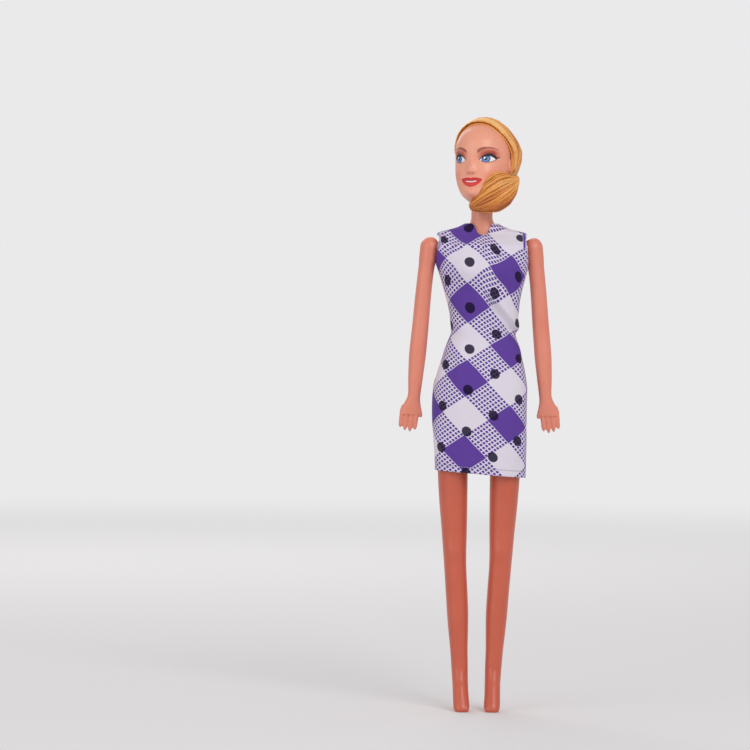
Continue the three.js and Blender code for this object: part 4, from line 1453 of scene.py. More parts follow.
@dataclass
class Leg:
    """One leg on its hip disc, with a tiptoe foot."""

    side: Side
    length: float = HIP_HEIGHT
    disc_radius: float = 10.5
    disc_width: float = 13.4
    face: float = 4.6
    convergence: float = 4.85
    reach: float = 8.1

    SHARES: Rows = (
        (0, 0, 1, 0.97, 0),
        (0.046, 0, 1, 0.96, 0),
        (0.092, 0, 1, 0.91, 0),
        (0.16, -0.01, 0.99, 0.83, 0),
        (0.217, 0, 0.97, 0.77, 0),
        (0.313, 0.08, 0.91, 0.69, 0),
        (0.405, 0.19, 0.82, 0.6, 0),
        (0.481, 0.26, 0.75, 0.55, 0.04),
        (0.527, 0.32, 0.72, 0.5, 0.02),
        (0.588, 0.43, 0.71, 0.51, -0.05),
        (0.664, 0.56, 0.7, 0.52, -0.09),
        (0.74, 0.66, 0.64, 0.46, -0.07),
        (0.8, 0.74, 0.57, 0.39, -0.05),
        (0.857, 0.82, 0.54, 0.37, -0.06),
        (0.893, 0.86, 0.52, 0.45, -0.02),
        (0.916, 0.89, 0.51, 0.49, 0.15),
        (0.939, 0.91, 0.51, 0.42, 0.44),
        (0.962, 0.94, 0.52, 0.35, 0.72),
        (0.981, 0.97, 0.53, 0.32, 0.91),
        (0.994, 0.99, 0.49, 0.3, 0.99),
        (1, 1, 0.42, 0.25, 1),
    )

    def build(self) -> None:
        """Makes the leg."""
        bm = bmesh.new()
        rows = [
            (
                drop * self.length,
                self.face + self.disc_width / 2 - closing * self.convergence,
                wide * self.disc_width / 2,
                deep * self.disc_radius,
                ahead * self.reach,
            )
            for drop, closing, wide, deep, ahead in self.SHARES
        ]
        rings = []
        for drop in steps(0, self.length, 150):
            out, half_width, half_depth, ahead = follow(rows, drop)
            share = drop / self.length
            ring = []
            for turn in turns(48):
                point = section_point(turn, half_width, half_depth, half_depth, 2.1)
                knee = 0.45 * bell(share - 0.475, 0.018) * max(0.0, math.cos(turn)) ** 2
                calf = 0.35 * bell(share - 0.62, 0.05) * max(0.0, -math.cos(turn))
                ring.append(Vector((
                    self.side.value * (out + point.x), point.y - ahead - knee + calf, HIP_HEIGHT - drop
                )))
            rings.append(ring)
        add_skin(bm, rings)
        self.add_disc(bm)
        self.add_toes(bm, rows[-1])
        piece = to_object(f"{self.side.word}_leg_vinyl", bm)
        fuse(piece, 0.38, 3)
        body = f"{self.side.word}_leg"
        dress_up(piece, LEG_VINYL_TINTED_AND_SHADED, body, [body])

    def add_disc(self, bm: bmesh.types.BMesh) -> None:
        """The hip disc, spun about the hip's axis.

        Args:
            bm: The mesh that it goes into.
        """
        profile = [
            (self.face, 0.0),
            (self.face, self.disc_radius * 0.985),
            (self.face + 0.2, self.disc_radius),
        ]
        for angle in steps(0, math.pi / 2, 14):
            profile.append((
                self.face + self.disc_width * (0.45 + 0.55 * math.sin(angle)),
                max(0.0, self.disc_radius * math.cos(angle) ** 0.62),
            ))
        verts = [bm.verts.new((self.side.value * out, 0, HIP_HEIGHT + radius)) for out, radius in profile]
        edges = [bm.edges.new(pair) for pair in pairwise(verts)]
        bmesh.ops.spin(
            bm, geom=[*verts, *edges], cent=(0, 0, HIP_HEIGHT), axis=(1, 0, 0), angle=math.tau,
            steps=64, use_merge=True, use_duplicate=False,
        )

    def add_toes(self, bm: bmesh.types.BMesh, end: Sequence[float]) -> None:
        """Five toes as small swells at the front of the foot's tip.

        Args:
            bm: The mesh that they go into.
            end: The leg's lowest section.
        """
        _, out, half_width, half_depth, ahead = end
        for index, across in enumerate((-0.72, -0.26, 0.14, 0.5, 0.82)):
            radius = 1.05 if index == 0 else 0.78 - 0.05 * index
            at = Vector((
                self.side.value * (out + across * half_width),
                -ahead - half_depth * math.sqrt(1 - across**2) * 0.92,
                radius + 0.15 + 0.25 * index,
            ))
            shape = Matrix.Translation(at) @ Matrix.Diagonal((0.95, 0.9, 1.25, 1.0))
            bmesh.ops.create_icosphere(bm, subdivisions=3, radius=radius, matrix=shape)


# Head and hair, in the head's own millimetres: the neck's axis is Z and the face looks to -Y


@dataclass
class Head:
    """Soft head with its relief, ears and painted face."""

    base: float = 217.3
    height: float = 38.7
    half_width: float = 12.3
    half_depth: float = 15.0
    half_height: float = 15.0
    setback: float = 2.4
    face_depth: float = 12.9
    eye_out: float = EYE_OUT
    lip: float = 0.009
    crown: float = 0.9
    crowding: float = 0.35
    widest_place: float = 0.612
    ear_place: float = 0.49
    eye_place: float = 0.54
    nose_place: float = 0.41
    chin_place: float = 0.175
    wing_height: float = 232.6
    cheek_height: float = 231.2
    brow_height: float = 243.0
    sides: int = 168
    rings: int = 150

    # Place, lift, shares of the neck's radius, the half width, the face's depth and the depth behind
    SHARES: Rows = (
        (0, -1, 1, 0, 0, 0),
        (0.055, -1, 1, 0.01, 0.02, 0.02),
        (0.09, -0.9, 0.5, 0.27, 0.44, 0.21),
        (0.121, -0.7, 0.2, 0.46, 0.78, 0.36),
        (0.152, -0.4, 0, 0.61, 0.96, 0.48),
        (0.205, 0, 0, 0.73, 0.99, 0.6),
        (0.284, 0, 0, 0.86, 0.98, 0.74),
        (0.406, 0, 0, 0.97, 0.96, 0.9),
        (0.543, 0, 0, 1, 0.94, 0.98),
        (0.612, 0, 0, 1, 0.955, 1),
        (0.716, 0.2, 0, 0.965, 0.945, 0.97),
        (0.819, 0.5, 0, 0.846, 0.82, 0.87),
        (0.897, 0.8, 0, 0.68, 0.6, 0.73),
        (0.961, 1, 0, 0.436, 0.3, 0.51),
        (0.988, 1, 0, 0.24, 0.03, 0.35),
        (1, 1, 0, 0.03, -0.16, 0.16),
    )

    def place(self, share: float) -> float:
        """Height of a place up the head."""
        return self.base + share * self.height

    def point(self, across: float, ahead: float, share: float) -> Vector:
        """A point as shares of the half width, the face's depth and the height."""
        return Vector((across * self.half_width, ahead * self.face_depth, self.place(share)))

    def relief(self, x: float, height: float) -> float:
        """Forward relief of the face at a point of it.

        Args:
            x: Millimetres to the head's left.
            height: Millimetres up.

        Returns:
            The relief in millimetres.
        """
        out = abs(x)
        eye, nose, mouth = self.place(self.eye_place), self.place(self.nose_place), MOUTH_HEIGHT
        bridge = min(1.0, max(0.0, (eye + 1.5 - height) / (eye + 1.5 - nose)))
        below = bell(height - nose, 0.8) if height < nose else 1.0
        rise = 2.15 * bridge**1.6 * below * bell(out, 1.25 + 0.5 * bridge)
        wings = 0.55 * bell(out - 1.45, 0.6) * bell(height - self.wing_height, 0.75)
        curve = height - 0.05 * x * x
        lips = (
            0.62 * bell(curve - mouth - 0.85, 0.7)
            + 0.8 * bell(curve - mouth + 1.0, 0.8)
            - 0.35 * bell(curve - mouth, 0.3)
        ) * bell(out, 3.0)
        groove = -0.22 * bell(out, 0.6) * bell(height - mouth - 2.7, 0.9)
        chin = 0.95 * bell(out, 3.0) * bell(height - self.place(self.chin_place), 1.7)
        crease = -0.4 * bell(out, 2.8) * bell(height - mouth + 2.6, 0.7)
        cheek = 0.75 * bell(out - 7.0, 3.0) * bell(height - self.cheek_height, 3.2)
        socket = -1.15 * bell(out - self.eye_out + 0.4, 2.9) * bell(height - eye - 0.6, 2.3)
        ball = 0.75 * bell(out - self.eye_out, 2.1) * bell(height - eye, 1.5)
        fold = -0.16 * bell(out - self.eye_out, 2.4) * bell(height - eye - 2.5, 0.35)
        brow = 0.35 * bell(out - 5.6, 3.6) * bell(height - self.brow_height, 1.2)
        return rise + wings + lips + groove + chin + crease + cheek + socket + ball + fold + brow

    def __post_init__(self) -> None:
        """Works out rows of height, half width, front and back."""
        neck = NECK.half_width
        self.rows = [
            (
                self.place(place),
                neck * share + wide * self.half_width,
                neck * share + front * self.face_depth,
                neck * share + back * (self.half_depth + self.setback),
            )
            for place, _, share, wide, front, back in self.SHARES
        ]

    def outside(self, point: Vector, lift: float) -> Vector:
        """A point moved level outwards, where it lies less than a lift above the head.

        Args:
            point: The point.
            lift: The lift.

        Returns:
            The point, moved or as it was.
        """
        half_width, front, back = follow(self.rows, point.z)
        middle, depth = (back - front) / 2, (back + front) / 2
        spread = math.hypot(point.x / (half_width + lift), (point.y - middle) / (depth + lift))
        if spread >= 1 or spread == 0:
            return point
        return Vector((point.x / spread, middle + (point.y - middle) / spread, point.z))

    def build(self) -> None:
        """Makes the head."""
        rings = []
        for share in [-self.lip, *steps(0, 1, self.rings)]:
            place = share if share < self.crown else 1 - (1 - share) ** 2 / (1 - self.crown)
            height = self.place(place)
            half_width, front, back = follow(self.rows, height)
            ring = []
            for turn in turns(self.sides, self.crowding):
                point = section_point(turn, half_width, front, back, 2.05)
                forward = self.relief(point.x, height) * max(0.0, math.cos(turn)) ** 0.7
                ring.append(Vector((point.x, point.y - forward, height)))
            rings.append(ring)
        bm = bmesh.new()
        add_skin(bm, rings)
        for side in Side:
            self.add_ear(bm, side)
        piece = to_object("head_vinyl", bm, HEAD_TURN)
        dress_up(piece, HEAD_VINYL, "head", ["head_shell"])

    def add_ear(self, bm: bmesh.types.BMesh, side: Side) -> None:
        """One ear, hollowed inside its rim.

        Args:
            bm: The mesh that it goes into.
            side: The ear's side.
        """
        made = bmesh.ops.create_uvsphere(bm, u_segments=40, v_segments=28, radius=1)["verts"]
        middle = Vector((side.value * (self.half_width - 0.3), self.setback, self.place(self.ear_place)))
        for vert in made:
            x, y, z = vert.co
            if x * side.value > 0:
                spot = math.hypot((y + 0.12) / 0.62, (z - 0.12) / 0.68)
                x -= side.value * 0.75 * bell(spot, 0.75) * (1 + 0.3 * z)
            lobe = 1 - 0.22 * max(0.0, -z)
            shape = Vector((x * 1.35, y * 2.05 * lobe, z * 3.5))
            shape.rotate(Matrix.Rotation(-0.2, 3, "X"))
            vert.co = middle + shape


@dataclass
class Hair:
    """Rooted hair combed over to the left ear, gathered in an elastic and brought round under the jaw."""

    head: Head
    locks: int = 330
    tail_locks: int = 130
    tail_radius: float = 4.2
    fullness: float = 1.5
    under_thickness: float = 0.3
    under_columns: int = 150
    end_share: float = 0.985
    ear_depth: float = 2.9
    ear_height: float = 4.3
    elastic_share: float = 0.125
    elastic_radius: float = 0.42
    elastic_gap: float = 0.75

    # The hairline from the side: place up the head, and reach as a share of the face's depth
    LINE: Rows = (
        (-0.1, 0.7),
        (0.173, 0.62),
        (0.3, 0.36),
        (0.4, 0.12),
        (0.509, 0.1),
        (0.602, 0.1),
        (0.742, -0.08),
        (0.855, -0.31),
        (0.943, -0.42),
        (1.0, -0.62),
    )
    # The gathered hair: shares of half width and face depth, place up, shares of width and thickness
    TAIL: Rows = (
        (0.89, 0.115, 0.361, 0.42, 0.42),
        (1.05, 0.125, 0.34, 0.42, 0.42),
        (1.165, 0.12, 0.32, 0.53, 0.52),
        (1.08, -0.12, 0.255, 1.25, 0.72),
        (0.93, -0.41, 0.196, 1.66, 0.76),
        (0.69, -0.62, 0.132, 1.68, 0.68),
        (0.39, -0.73, 0.08, 1.34, 0.58),
        (0.08, -0.74, 0.036, 0.78, 0.44),
        (-0.163, -0.71, 0.008, 0.26, 0.18),
    )

    def __post_init__(self) -> None:
        """Works out the line that the hair is combed along."""
        self.middle = Vector((0, self.head.setback, self.head.place(self.head.widest_place)))
        self.root = self.on_skull(self.head.point(-0.78, 0.3, 0.05), 0)
        self.gather = self.on_skull(self.head.point(0.9, 0.12, 0.36), 0)
        self.pivot = (self.root + self.gather) / 2
        self.axis = (self.gather - self.root).normalized()
        self.up = (UP - self.axis * UP.dot(self.axis)).normalized()
        self.behind = self.up.cross(self.axis)

    def reach(self, start: Vector, way: Vector, lift: float) -> float:
        """How far a ray from inside goes before it leaves the skull grown by a lift.

        Args:
            start: Where it starts.
            way: Its direction.
            lift: The lift.

        Returns:
            The distance.
        """
        skull = Vector((self.head.half_width, self.head.half_depth, self.head.half_height))
        axes = skull + Vector((lift,) * 3)
        from_middle = start - self.middle
        first = Vector(from_middle[i] / axes[i] for i in range(3))
        ahead = Vector(way[i] / axes[i] for i in range(3))
        a, b, c = ahead.dot(ahead), first.dot(ahead), first.dot(first) - 1
        return (-b + math.sqrt(max(0.0, b * b - a * c))) / a

    def on_skull(self, point: Vector, lift: float) -> Vector:
        """The skull's point straight out from its middle through a point."""
        way = (point - self.middle).normalized()
        return self.middle + way * self.reach(self.middle, way, lift)

    def combed(self, share: float, angle: float, lift: float) -> tuple[Vector, Vector]:
        """A point of the combed surface and the way out from it.

        Args:
            share: How far from the right side (0) to the gather (1).
            angle: Turn round the line between them, 0 over the top and positive to the back.
            lift: Distance above the skull, more over the left ear, where the hair is fullest.

        Returns:
            The point, and the direction away from the scalp.
        """
        rise = self.up * math.cos(angle) + self.behind * math.sin(angle)
        way = rise * math.sin(share * math.pi) - self.axis * math.cos(share * math.pi)
        bare = self.pivot + way * self.reach(self.pivot, way, 0)
        lift *= 1 + self.fullness * bell(bare.z - 238, 8) * ease(bare.x, 3, 12)
        point = self.head.outside(self.pivot + way * self.reach(self.pivot, way, lift), lift)
        return point, (point - self.middle).normalized()

    def hairline(self, height: float) -> float:
        """How far forward hair reaches at a height."""
        share = (height - self.head.base) / self.head.height
        return follow(self.LINE, share)[0] * self.head.face_depth

    def is_hair(self, share: float, angle: float) -> bool:
        """Whether hair grows at a point of the combed surface.

        Args:
            share: How far from the right side to the gather.
            angle: Turn round the line between them.

        Returns:
            Whether it does.
        """
        point, _ = self.combed(share, angle, 0.6)
        behind = (point.y - self.head.setback) / self.ear_depth
        above = (point.z - self.head.place(self.head.ear_place)) / self.ear_height
        by_ear = math.hypot(behind, above)
        return point.y >= self.hairline(point.z) and (point.x > 0 or by_ear > 1)

    def limits(self, share: float) -> tuple[float, float] | None:
        """The angles between which hair grows at a share of the way, or None where it doesn't.

        Args:
            share: How far from the right side to the gather.

        Returns:
            The first and last angle, or None.
        """
        angles = steps(-1.9, 3.0, 98)
        grown = [angle for angle in angles if self.is_hair(share, angle)]
        if len(grown) < 2:
            return None
        ends = []
        for edge, step in ((grown[0], -1), (grown[-1], 1)):
            inside, outside = edge, edge + step * 0.05
            for _ in range(7):
                between = (inside + outside) / 2
                if self.is_hair(share, between):
                    inside = between
                else:
                    outside = between
            ends.append(inside)
        return ends[0], ends[1]

    def build(self) -> None:
        """Makes the scalp's hair, the gathered lock and the elastic."""
        self.build_cap()
        self.build_tail()
        self.build_elastic()

    def build_cap(self) -> None:
        """The hair that lies on the scalp: a streaked under-layer and separate locks over it."""
        shares = steps(0.02, self.end_share, 84)
        found = [(share, self.limits(share)) for share in shares]
        found = [(share, pair) for share, pair in found if pair]
        table = [(share, *pair) for share, pair in found]
        bm = bmesh.new()
        rings = []
        for share, low, high in table:
            ring = []
            for part in steps(0, 1, self.under_columns):
                angle = low + (high - low) * part
                edge = min(1.0, min(part, 1 - part) * 14)
                wave = 0.12 * math.sin(part * 190) + 0.1 * math.sin(part * 77 + share * 3)
                ring.append(self.combed(share, angle, 0.25 + (0.7 + wave) * edge)[0])
            rings.append(ring)
        add_skin(
            bm, rings, closed=False, place=lambda ring, side, _: (side * 0.45, table[ring][0] * 45)
        )
        under = to_object("hair_under", bm, HEAD_TURN)
        thicken(under, self.under_thickness, -1)
        top = bmesh.new()
        pick = random.Random(7)
        for number in range(self.locks):
            self.add_lock(top, table, (number + 0.5) / self.locks, pick, number)
        over = to_object("hair_combed", top, HEAD_TURN)
        dress_up(under, HAIR, "head")
        dress_up(over, HAIR, "head", ["hair_cap"])

    def add_lock(
        self, bm: bmesh.types.BMesh, table: Rows, place: float, pick: random.Random, number: int
    ) -> None:
        """One lock from the hairline to the gather, held behind the hairline on its way.

        Args:
            bm: The mesh that it goes into.
            table: Rows of share and the angles between which hair grows.
            place: The lock's place among the others, 0 to 1.
            pick: The random draws.
            number: The lock's number.
        """
        lowest = min(low for _, low, _ in table)
        highest = max(high for _, _, high in table)
        own = lowest + (highest - lowest) * place + pick.uniform(-0.01, 0.01)
        width = pick.uniform(0.36, 0.66)
        height = pick.uniform(0.9, 1.4)
        sway, phase = pick.uniform(0.005, 0.03), pick.uniform(0, math.tau)
        lag = pick.uniform(0.0, 0.06) + (0.05 if place < 0.35 else 0.0) * pick.random()
        kept = [
            (share, low, high) for share, low, high in table if low - 0.35 <= own <= high + 0.25
        ]
        if len(kept) < 8:
            return
        start, end = kept[0][0] + pick.uniform(0, 0.03), self.end_share
        path, normals, radii = [], [], []
        for part in steps(0, 1, 26):
            share = start + (end - start) * part
            low, high = follow(table, share)
            angle = own + sway * math.sin(part * 5 + phase)
            angle = min(max(angle, low + lag * math.sin(part * math.pi)), high - 0.02)
            lift = 0.2 + (height - 0.2) * min(1.0, part * 7)
            point, out = self.combed(share, angle, lift)
            path.append(point)
            normals.append(out)
            radii.append(width * (0.25 + 0.75 * min(1.0, part * 6)) * (1 - 0.55 * part**3))
        add_tube(bm, path, radii, 7, 0.5, normals, number)

    def tail_frame(self, share: float) -> tuple[Vector, Vector, Vector, float, float]:
        """Middle, two directions, width and thickness of the gathered hair at a share of its way.

        Args:
            share: The share of the way.

        Returns:
            The five of them.
        """
        points = [self.head.point(*row[:3]) for row in self.TAIL]
        point = along_points(points, share)
        way = (along_points(points, share + 0.01) - along_points(points, share - 0.01)).normalized()
        across = (UP - way * UP.dot(way)).normalized()
        last = len(self.TAIL) - 1
        sizes = [(index / last, row[3], row[4]) for index, row in enumerate(self.TAIL)]
        width, thickness = follow(sizes, share)
        return point, across, across.cross(way), width * self.tail_radius, thickness * self.tail_radius

    def build_tail(self) -> None:
        """The gathered hair, from the elastic round under the jaw to its ends."""
        bm = bmesh.new()
        rings = []
        for share in steps(0.0, 0.97, 60):
            point, across, ahead, width, thickness = self.tail_frame(share)
            rings.append([
                point + (across * width * math.cos(turn) + ahead * thickness * math.sin(turn))
                * (0.91 + 0.03 * math.sin(turn * 13))
                for turn in turns(60)
            ])
        add_skin(bm, rings, place=lambda ring, side, _: (1000 + side * 0.8, ring * 0.7))
        pick = random.Random(19)
        for number in range(self.tail_locks):
            turn = math.tau * number / self.tail_locks * 5 + pick.uniform(-0.1, 0.1)
            depth = pick.uniform(0.86, 1.0)
            twist = pick.uniform(0.3, 1.0)
            finish = pick.uniform(0.8, 1.0)
            width = pick.uniform(0.3, 0.62)
            path, normals, radii = [], [], []
            for part in steps(0, 1, 26):
                share = part * finish
                point, across, ahead, wide, thick = self.tail_frame(share)
                angle = turn + twist * part
                out = across * wide * math.cos(angle) + ahead * thick * math.sin(angle)
                loose = 1 + 0.3 * max(0.0, math.cos(angle)) * bell(share - 0.5, 0.25)
                path.append(point + out * depth * loose)
                normals.append(out.normalized())
                radii.append(width * min(1.0, 0.45 + part * 2) * (1 - 0.8 * part**4))
            add_tube(bm, path, radii, 6, 0.55, normals, 2000 + number)
        piece = to_object("hair_gathered", bm, HEAD_TURN)
        dress_up(piece, HAIR, "head", ["hair_tail"])

    def build_elastic(self) -> None:
        """The elastic, two turns of a thin rubber band round the gathered hair."""
        bm = bmesh.new()
        point, across, ahead, width, _ = self.tail_frame(self.elastic_share)
        way = across.cross(ahead)
        for turn_number, shift in enumerate((-0.45, 0.45)):
            radius = width + self.elastic_gap
            path = [
                point + way * (shift + 0.12 * math.sin(turn + turn_number))
                + (across * math.cos(turn) + ahead * math.sin(turn)) * radius
                for turn in steps(0, math.tau, 48)
            ]
            add_tube(bm, path, [self.elastic_radius] * len(path), 12)
        piece = to_object("hair_elastic_band", bm, HEAD_TURN)
        dress_up(piece, ELASTIC, "head", ["hair_band"])


# Dress


@dataclass
class Dress:
    """Sleeveless sheath dress, one shaped cloth that laps at the middle of the back."""

    arm: Arm
    skirt: float = 28.4
    hem: Girth = field(default_factory=lambda: Girth(18.6, 10.8, 10.8, 2.9))
    tilt: float = 0.077
    drift: float = 1.1
    stand_off: float = 0.75
    thickness: float = 0.34
    flap_lift: float = 1.95
    neckline: Girth = field(default_factory=lambda: Girth(6.5, 6.9, 5.4, 2))
    armhole_radius: float = 5.9
    columns: int = 236
    rings: int = 150
    lap_above: tuple[float, float] = (-3.3, 17.0)
    lap_below: tuple[float, float] = (-16.2, 4.1)
    drag_start: tuple[float, float] = (1.6, 181.0)
    drag_way: tuple[float, float] = (10.8, -14.8)
    overlap: float = 0.1
    smoothing: int = 14

    def __post_init__(self) -> None:
        """Works out the dress's girths, its hem's height and its main fold's line."""
        self.girths = (
            HIP.eased(2.2, 2.6, 2, 0.6),
            WAIST.eased(2.7, 1.4, 1.6, 0.1),
            BUST.eased(2, 1.6, 1.2, 0.1),
            SHOULDER.eased(0.8, 2.6, 1.4, 0),
            SHOULDER_TIP,
            NECK,
        )
        self.hem_height = HIP_HEIGHT - self.skirt
        self.arm_side = self.arm.inner_sides()
        self.fold_start = Vector(self.drag_start)
        self.fold_way = Vector(self.drag_way).normalized()

    def rows(self, offset: float) -> list[tuple[float, ...]]:
        """Rows of height and section from the hem to the base of the neck.

        Args:
            offset: How far they stand off.

        Returns:
            The rows.
        """
        above = station_rows(self.girths, [row for row in TORSO_SHARES if 0 <= row[0] <= 1.58], offset)
        hem = self.hem.eased(offset, offset, offset, 0)
        return [(self.hem_height, hem.half_width, hem.front, hem.back, hem.squareness), *above]

    def folds(self, x: float, y: float, height: float, turn: float) -> float:
        """Outward relief of the cloth: drag folds, slack at the waist, and the soft waves of worn cotton.

        Args:
            x: Millimetres to the left.
            y: Millimetres to the back.
            height: Millimetres up.
            turn: Turn round the body from the front.

        Returns:
            The relief in millimetres.
        """
        low = torso_height(WAIST_PLACE)
        front = max(0.0, math.cos(turn))
        from_start = Vector((x, height)) - self.fold_start
        along = from_start.dot(self.fold_way)
        off = from_start.dot(Vector((-self.fold_way.y, self.fold_way.x)))
        step = ease(off, -0.6, 0.5) * math.exp(-max(off, 0.0) / 4.5) - 0.35 * bell(off + 1.6, 1.2)
        drag = 3.0 * step * ease(along, -7, 8) * ease(along, 30, 19) * ease(math.cos(turn), -0.3, 0.7)
        second = 0.9 * bell(off + 5.2, 1.3) * bell(along - 12, 8)
        second += 0.6 * bell(off - 5.5, 1.2) * bell(along - 6, 7)
        slack = 0.7 * bell(x + WAIST.half_width - 0.6, 1.9) * bell(height - (low + HIP_HEIGHT) / 2, 13)
        crush = 0.35 * math.sin(height * 0.62 + x * 0.25 + 1.1) * bell(height - low, 9)
        crush *= bell(abs(x) - WAIST.half_width, 5)
        soft = noise.noise(Vector((x * 0.08, y * 0.08, height * 0.045))) * 0.8
        flute = 0.35 * math.sin(turn * 5 + 0.7) * ease(height, HIP_HEIGHT, self.hem_height)
        behind = 0.4 * math.sin(height * 0.5 + 0.6) * bell(height - low, 10) * max(0.0, -math.cos(turn))
        return drag + (second + slack) * math.sqrt(front) + crush + soft + flute + behind

    def point(self, turn: float, height: float, rows: Rows, offset: float) -> Vector:
        """One point of the cloth.

        Args:
            turn: Turn round the body from the front.
            height: Height before the hem's slant.
            rows: Sections of the dress.
            offset: Extra distance out.

        Returns:
            The point in body millimetres.
        """
        half_width, front, back, squareness = follow(rows, height)
        section = section_point(turn, half_width + offset, front + offset, back + offset, squareness)
        swell = bust_swell(section.x, height, 5.9) * math.sqrt(max(0.0, math.cos(turn)))
        relief = self.folds(section.x, section.y, height, turn) * ease(height, 212, 205)
        outward = Vector((section.x, section.y * 1.6, 0)).normalized()
        section += outward * relief
        y = section.y - swell
        limit = self.arm_side(math.hypot(y, height - SHOULDER_HEIGHT)) - 0.55
        x = section.x + self.drift * bell(height - torso_height(WAIST_PLACE), 23)
        x = min(max(x, -limit), limit)
        slant = self.tilt * min(1.0, max(0.0, (HIP_HEIGHT - height) / self.skirt))
        return Vector((x, y, height - slant * x))

    def surface(self) -> tuple[list[list[Vector]], Callable[[int, int, int], tuple[float, float]]]:
        """The cloth's points, from the right edge behind to the left, and their places on the flat cloth.

        Returns:
            The rings of points, and the function that gives their places.
        """
        rows = self.rows(self.stand_off)
        top = rows[-1][0]
        body = steps(self.hem_height, SHOULDER_HEIGHT, self.rings)
        heights = [*body, *steps(SHOULDER_HEIGHT, top, 60)[1:]]
        half_turn = math.pi + self.overlap
        angles = [turn - 0.12 * math.sin(turn) for turn in steps(-half_turn, half_turn, self.columns)]
        points = []
        for height in heights:
            ring = []
            for turn in angles:
                over_tapes = self.flap_lift * ease(height, 210, 204) if turn > math.pi / 2 else 0.0
                out = follow(rows, height)[0] * abs(math.sin(turn)) ** 0.8
                over_tapes *= ease(math.copysign(out, math.pi - turn), 5.6, 2.5)
                ring.append(self.point(turn, height, rows, over_tapes))
            points.append(ring)
        middle = self.columns // 2
        places = []
        for index, ring in enumerate(points[: len(body)]):
            across = [0.0] * len(ring)
            for column in range(middle + 1, len(ring)):
                across[column] = across[column - 1] + (ring[column] - ring[column - 1]).length
            for column in range(middle - 1, -1, -1):
                across[column] = across[column + 1] - (ring[column] - ring[column + 1]).length
            below = points[max(index - 1, 0)]
            rise = [
                (places[-1][column][1] if places else heights[0]) + (point - below[column]).length
                for column, point in enumerate(ring)
            ]
            places.append(list(zip(across, rise)))
        quarters = [
            min(range(len(angles)), key=lambda at: abs(angles[at] - turn))
            for turn in (-math.pi / 2, math.pi / 2)
        ]
        bounds = pairwise((0, *quarters, len(angles) - 1))
        panels = [range(first, last + 1) for first, last in bounds]
        yokes = [self.yoke(points[len(body) - 1], places[-1], panel) for panel in panels]

        def place(ring: int, side: int, first: int) -> tuple[float, float]:
            """The place on the flat cloth.

            Args:
                ring: The ring, from the hem up.
                side: The column, from the right edge behind.
                first: The column that the face starts at, which tells its panel.

            Returns:
                Millimetres across and up, with panels running straight on to the shoulder seams.
            """
            if ring < len(body):
                return places[ring][side]
            point = points[ring][side]
            panel = (first >= quarters[0]) + (first >= quarters[1])
            across, rise, depth = follow(yokes[panel], point.x)
            return across, rise + math.hypot(point.y - depth, point.z - SHOULDER_HEIGHT)

        return points, place

    def yoke(self, ring: Sequence[Vector], places: Sequence[tuple[float, float]], panel: range) -> Rows:
        """Rows of X, place across and up the flat cloth and Y, where a panel passes the arms' axis.

        Args:
            ring: The ring at the axis.
            places: Its places on the flat cloth.
            panel: The panel's columns.

        Returns:
            The rows.
        """
        rows = sorted((ring[column].x, *places[column], ring[column].y) for column in panel)
        kept = [rows[0]]
        for row in rows[1:]:
            if row[0] > kept[-1][0] + 0.05:
                kept.append(row)
        return kept

    def build(self) -> None:
        points, place = self.surface()
        bm = bmesh.new()
        add_skin(bm, points, closed=False, place=place)
        shoulders = [vert for vert in bm.verts if vert.co.z > SHOULDER_HEIGHT - 3 and not vert.is_boundary]
        for _ in range(self.smoothing):
            bmesh.ops.smooth_vert(
                bm, verts=shoulders, factor=0.5, use_axis_x=True, use_axis_y=True, use_axis_z=True
            )
        self.open_up(bm)
        cloth = to_object("dress_cloth", bm)
        thicken(cloth, self.thickness, 1)
        cloth.data.shade_smooth()
        dress_up(cloth, COTTON, "torso", ["dress_front", "dress_back_left", "dress_back_right"])
        self.hang(cloth)
        finish_packed(["closure_hook_tape", "closure_loop_tape"], TAPE)

    def margin(self, point: Vector) -> float:
        """Distance from a point of the cloth to the edge of the nearest opening, below 0 inside it.

        Args:
            point: The point.

        Returns:
            The distance in millimetres.
        """
        neck_middle = (self.neckline.back - self.neckline.front) / 2
        neck_depth = (self.neckline.back + self.neckline.front) / 2
        wide, deep = abs(point.x) / self.neckline.half_width, (point.y - neck_middle) / neck_depth
        power = 1.5 if deep < 0 else 2.0
        neck_reach = (wide**power + abs(deep) ** power) ** (1 / power)
        neck = (neck_reach - 1) * self.neckline.half_width if point.z > SHOULDER_HEIGHT else math.inf
        arm_reach = math.hypot(point.y, point.z - SHOULDER_HEIGHT)
        arm = arm_reach - self.armhole_radius if abs(point.x) > SHOULDER_FACE / 2 else math.inf
        return min(neck, arm)

    def open_up(self, bm: bmesh.types.BMesh) -> None:
        """Cuts the neckline and armholes, whose edges the nearest points of the cloth move onto.

        Args:
            bm: The cloth.
        """
        margins = {vert: self.margin(vert.co) for vert in bm.verts}
        edged = [face for face in bm.faces if min(margins[vert] for vert in face.verts) < 0]
        for face in edged:
            inside = [vert for vert in face.verts if margins[vert] < 0]
            outside = [vert for vert in face.verts if margins[vert] > 0]
            for first in inside:
                for second in outside:
                    if margins[first] < 0 < margins[second]:
                        share = margins[first] / (margins[first] - margins[second])
                        spot = first.co.lerp(second.co, share)
                        moved = first if share < 0.5 else second
                        moved.co = spot
                        margins[moved] = 0.0
        gone = [face for face in edged if max(margins[vert] for vert in face.verts) <= 0]
        bmesh.ops.delete(bm, geom=gone, context="FACES")
        for _ in range(8):
            moves = {}
            for vert in bm.verts:
                ends = [edge.other_vert(vert) for edge in vert.link_edges if edge.is_boundary]
                if len(ends) == 2 and margins[vert] == 0:
                    moves[vert] = vert.co.lerp((ends[0].co + ends[1].co) / 2, 0.5)
            for vert, spot in moves.items():
                vert.co = spot

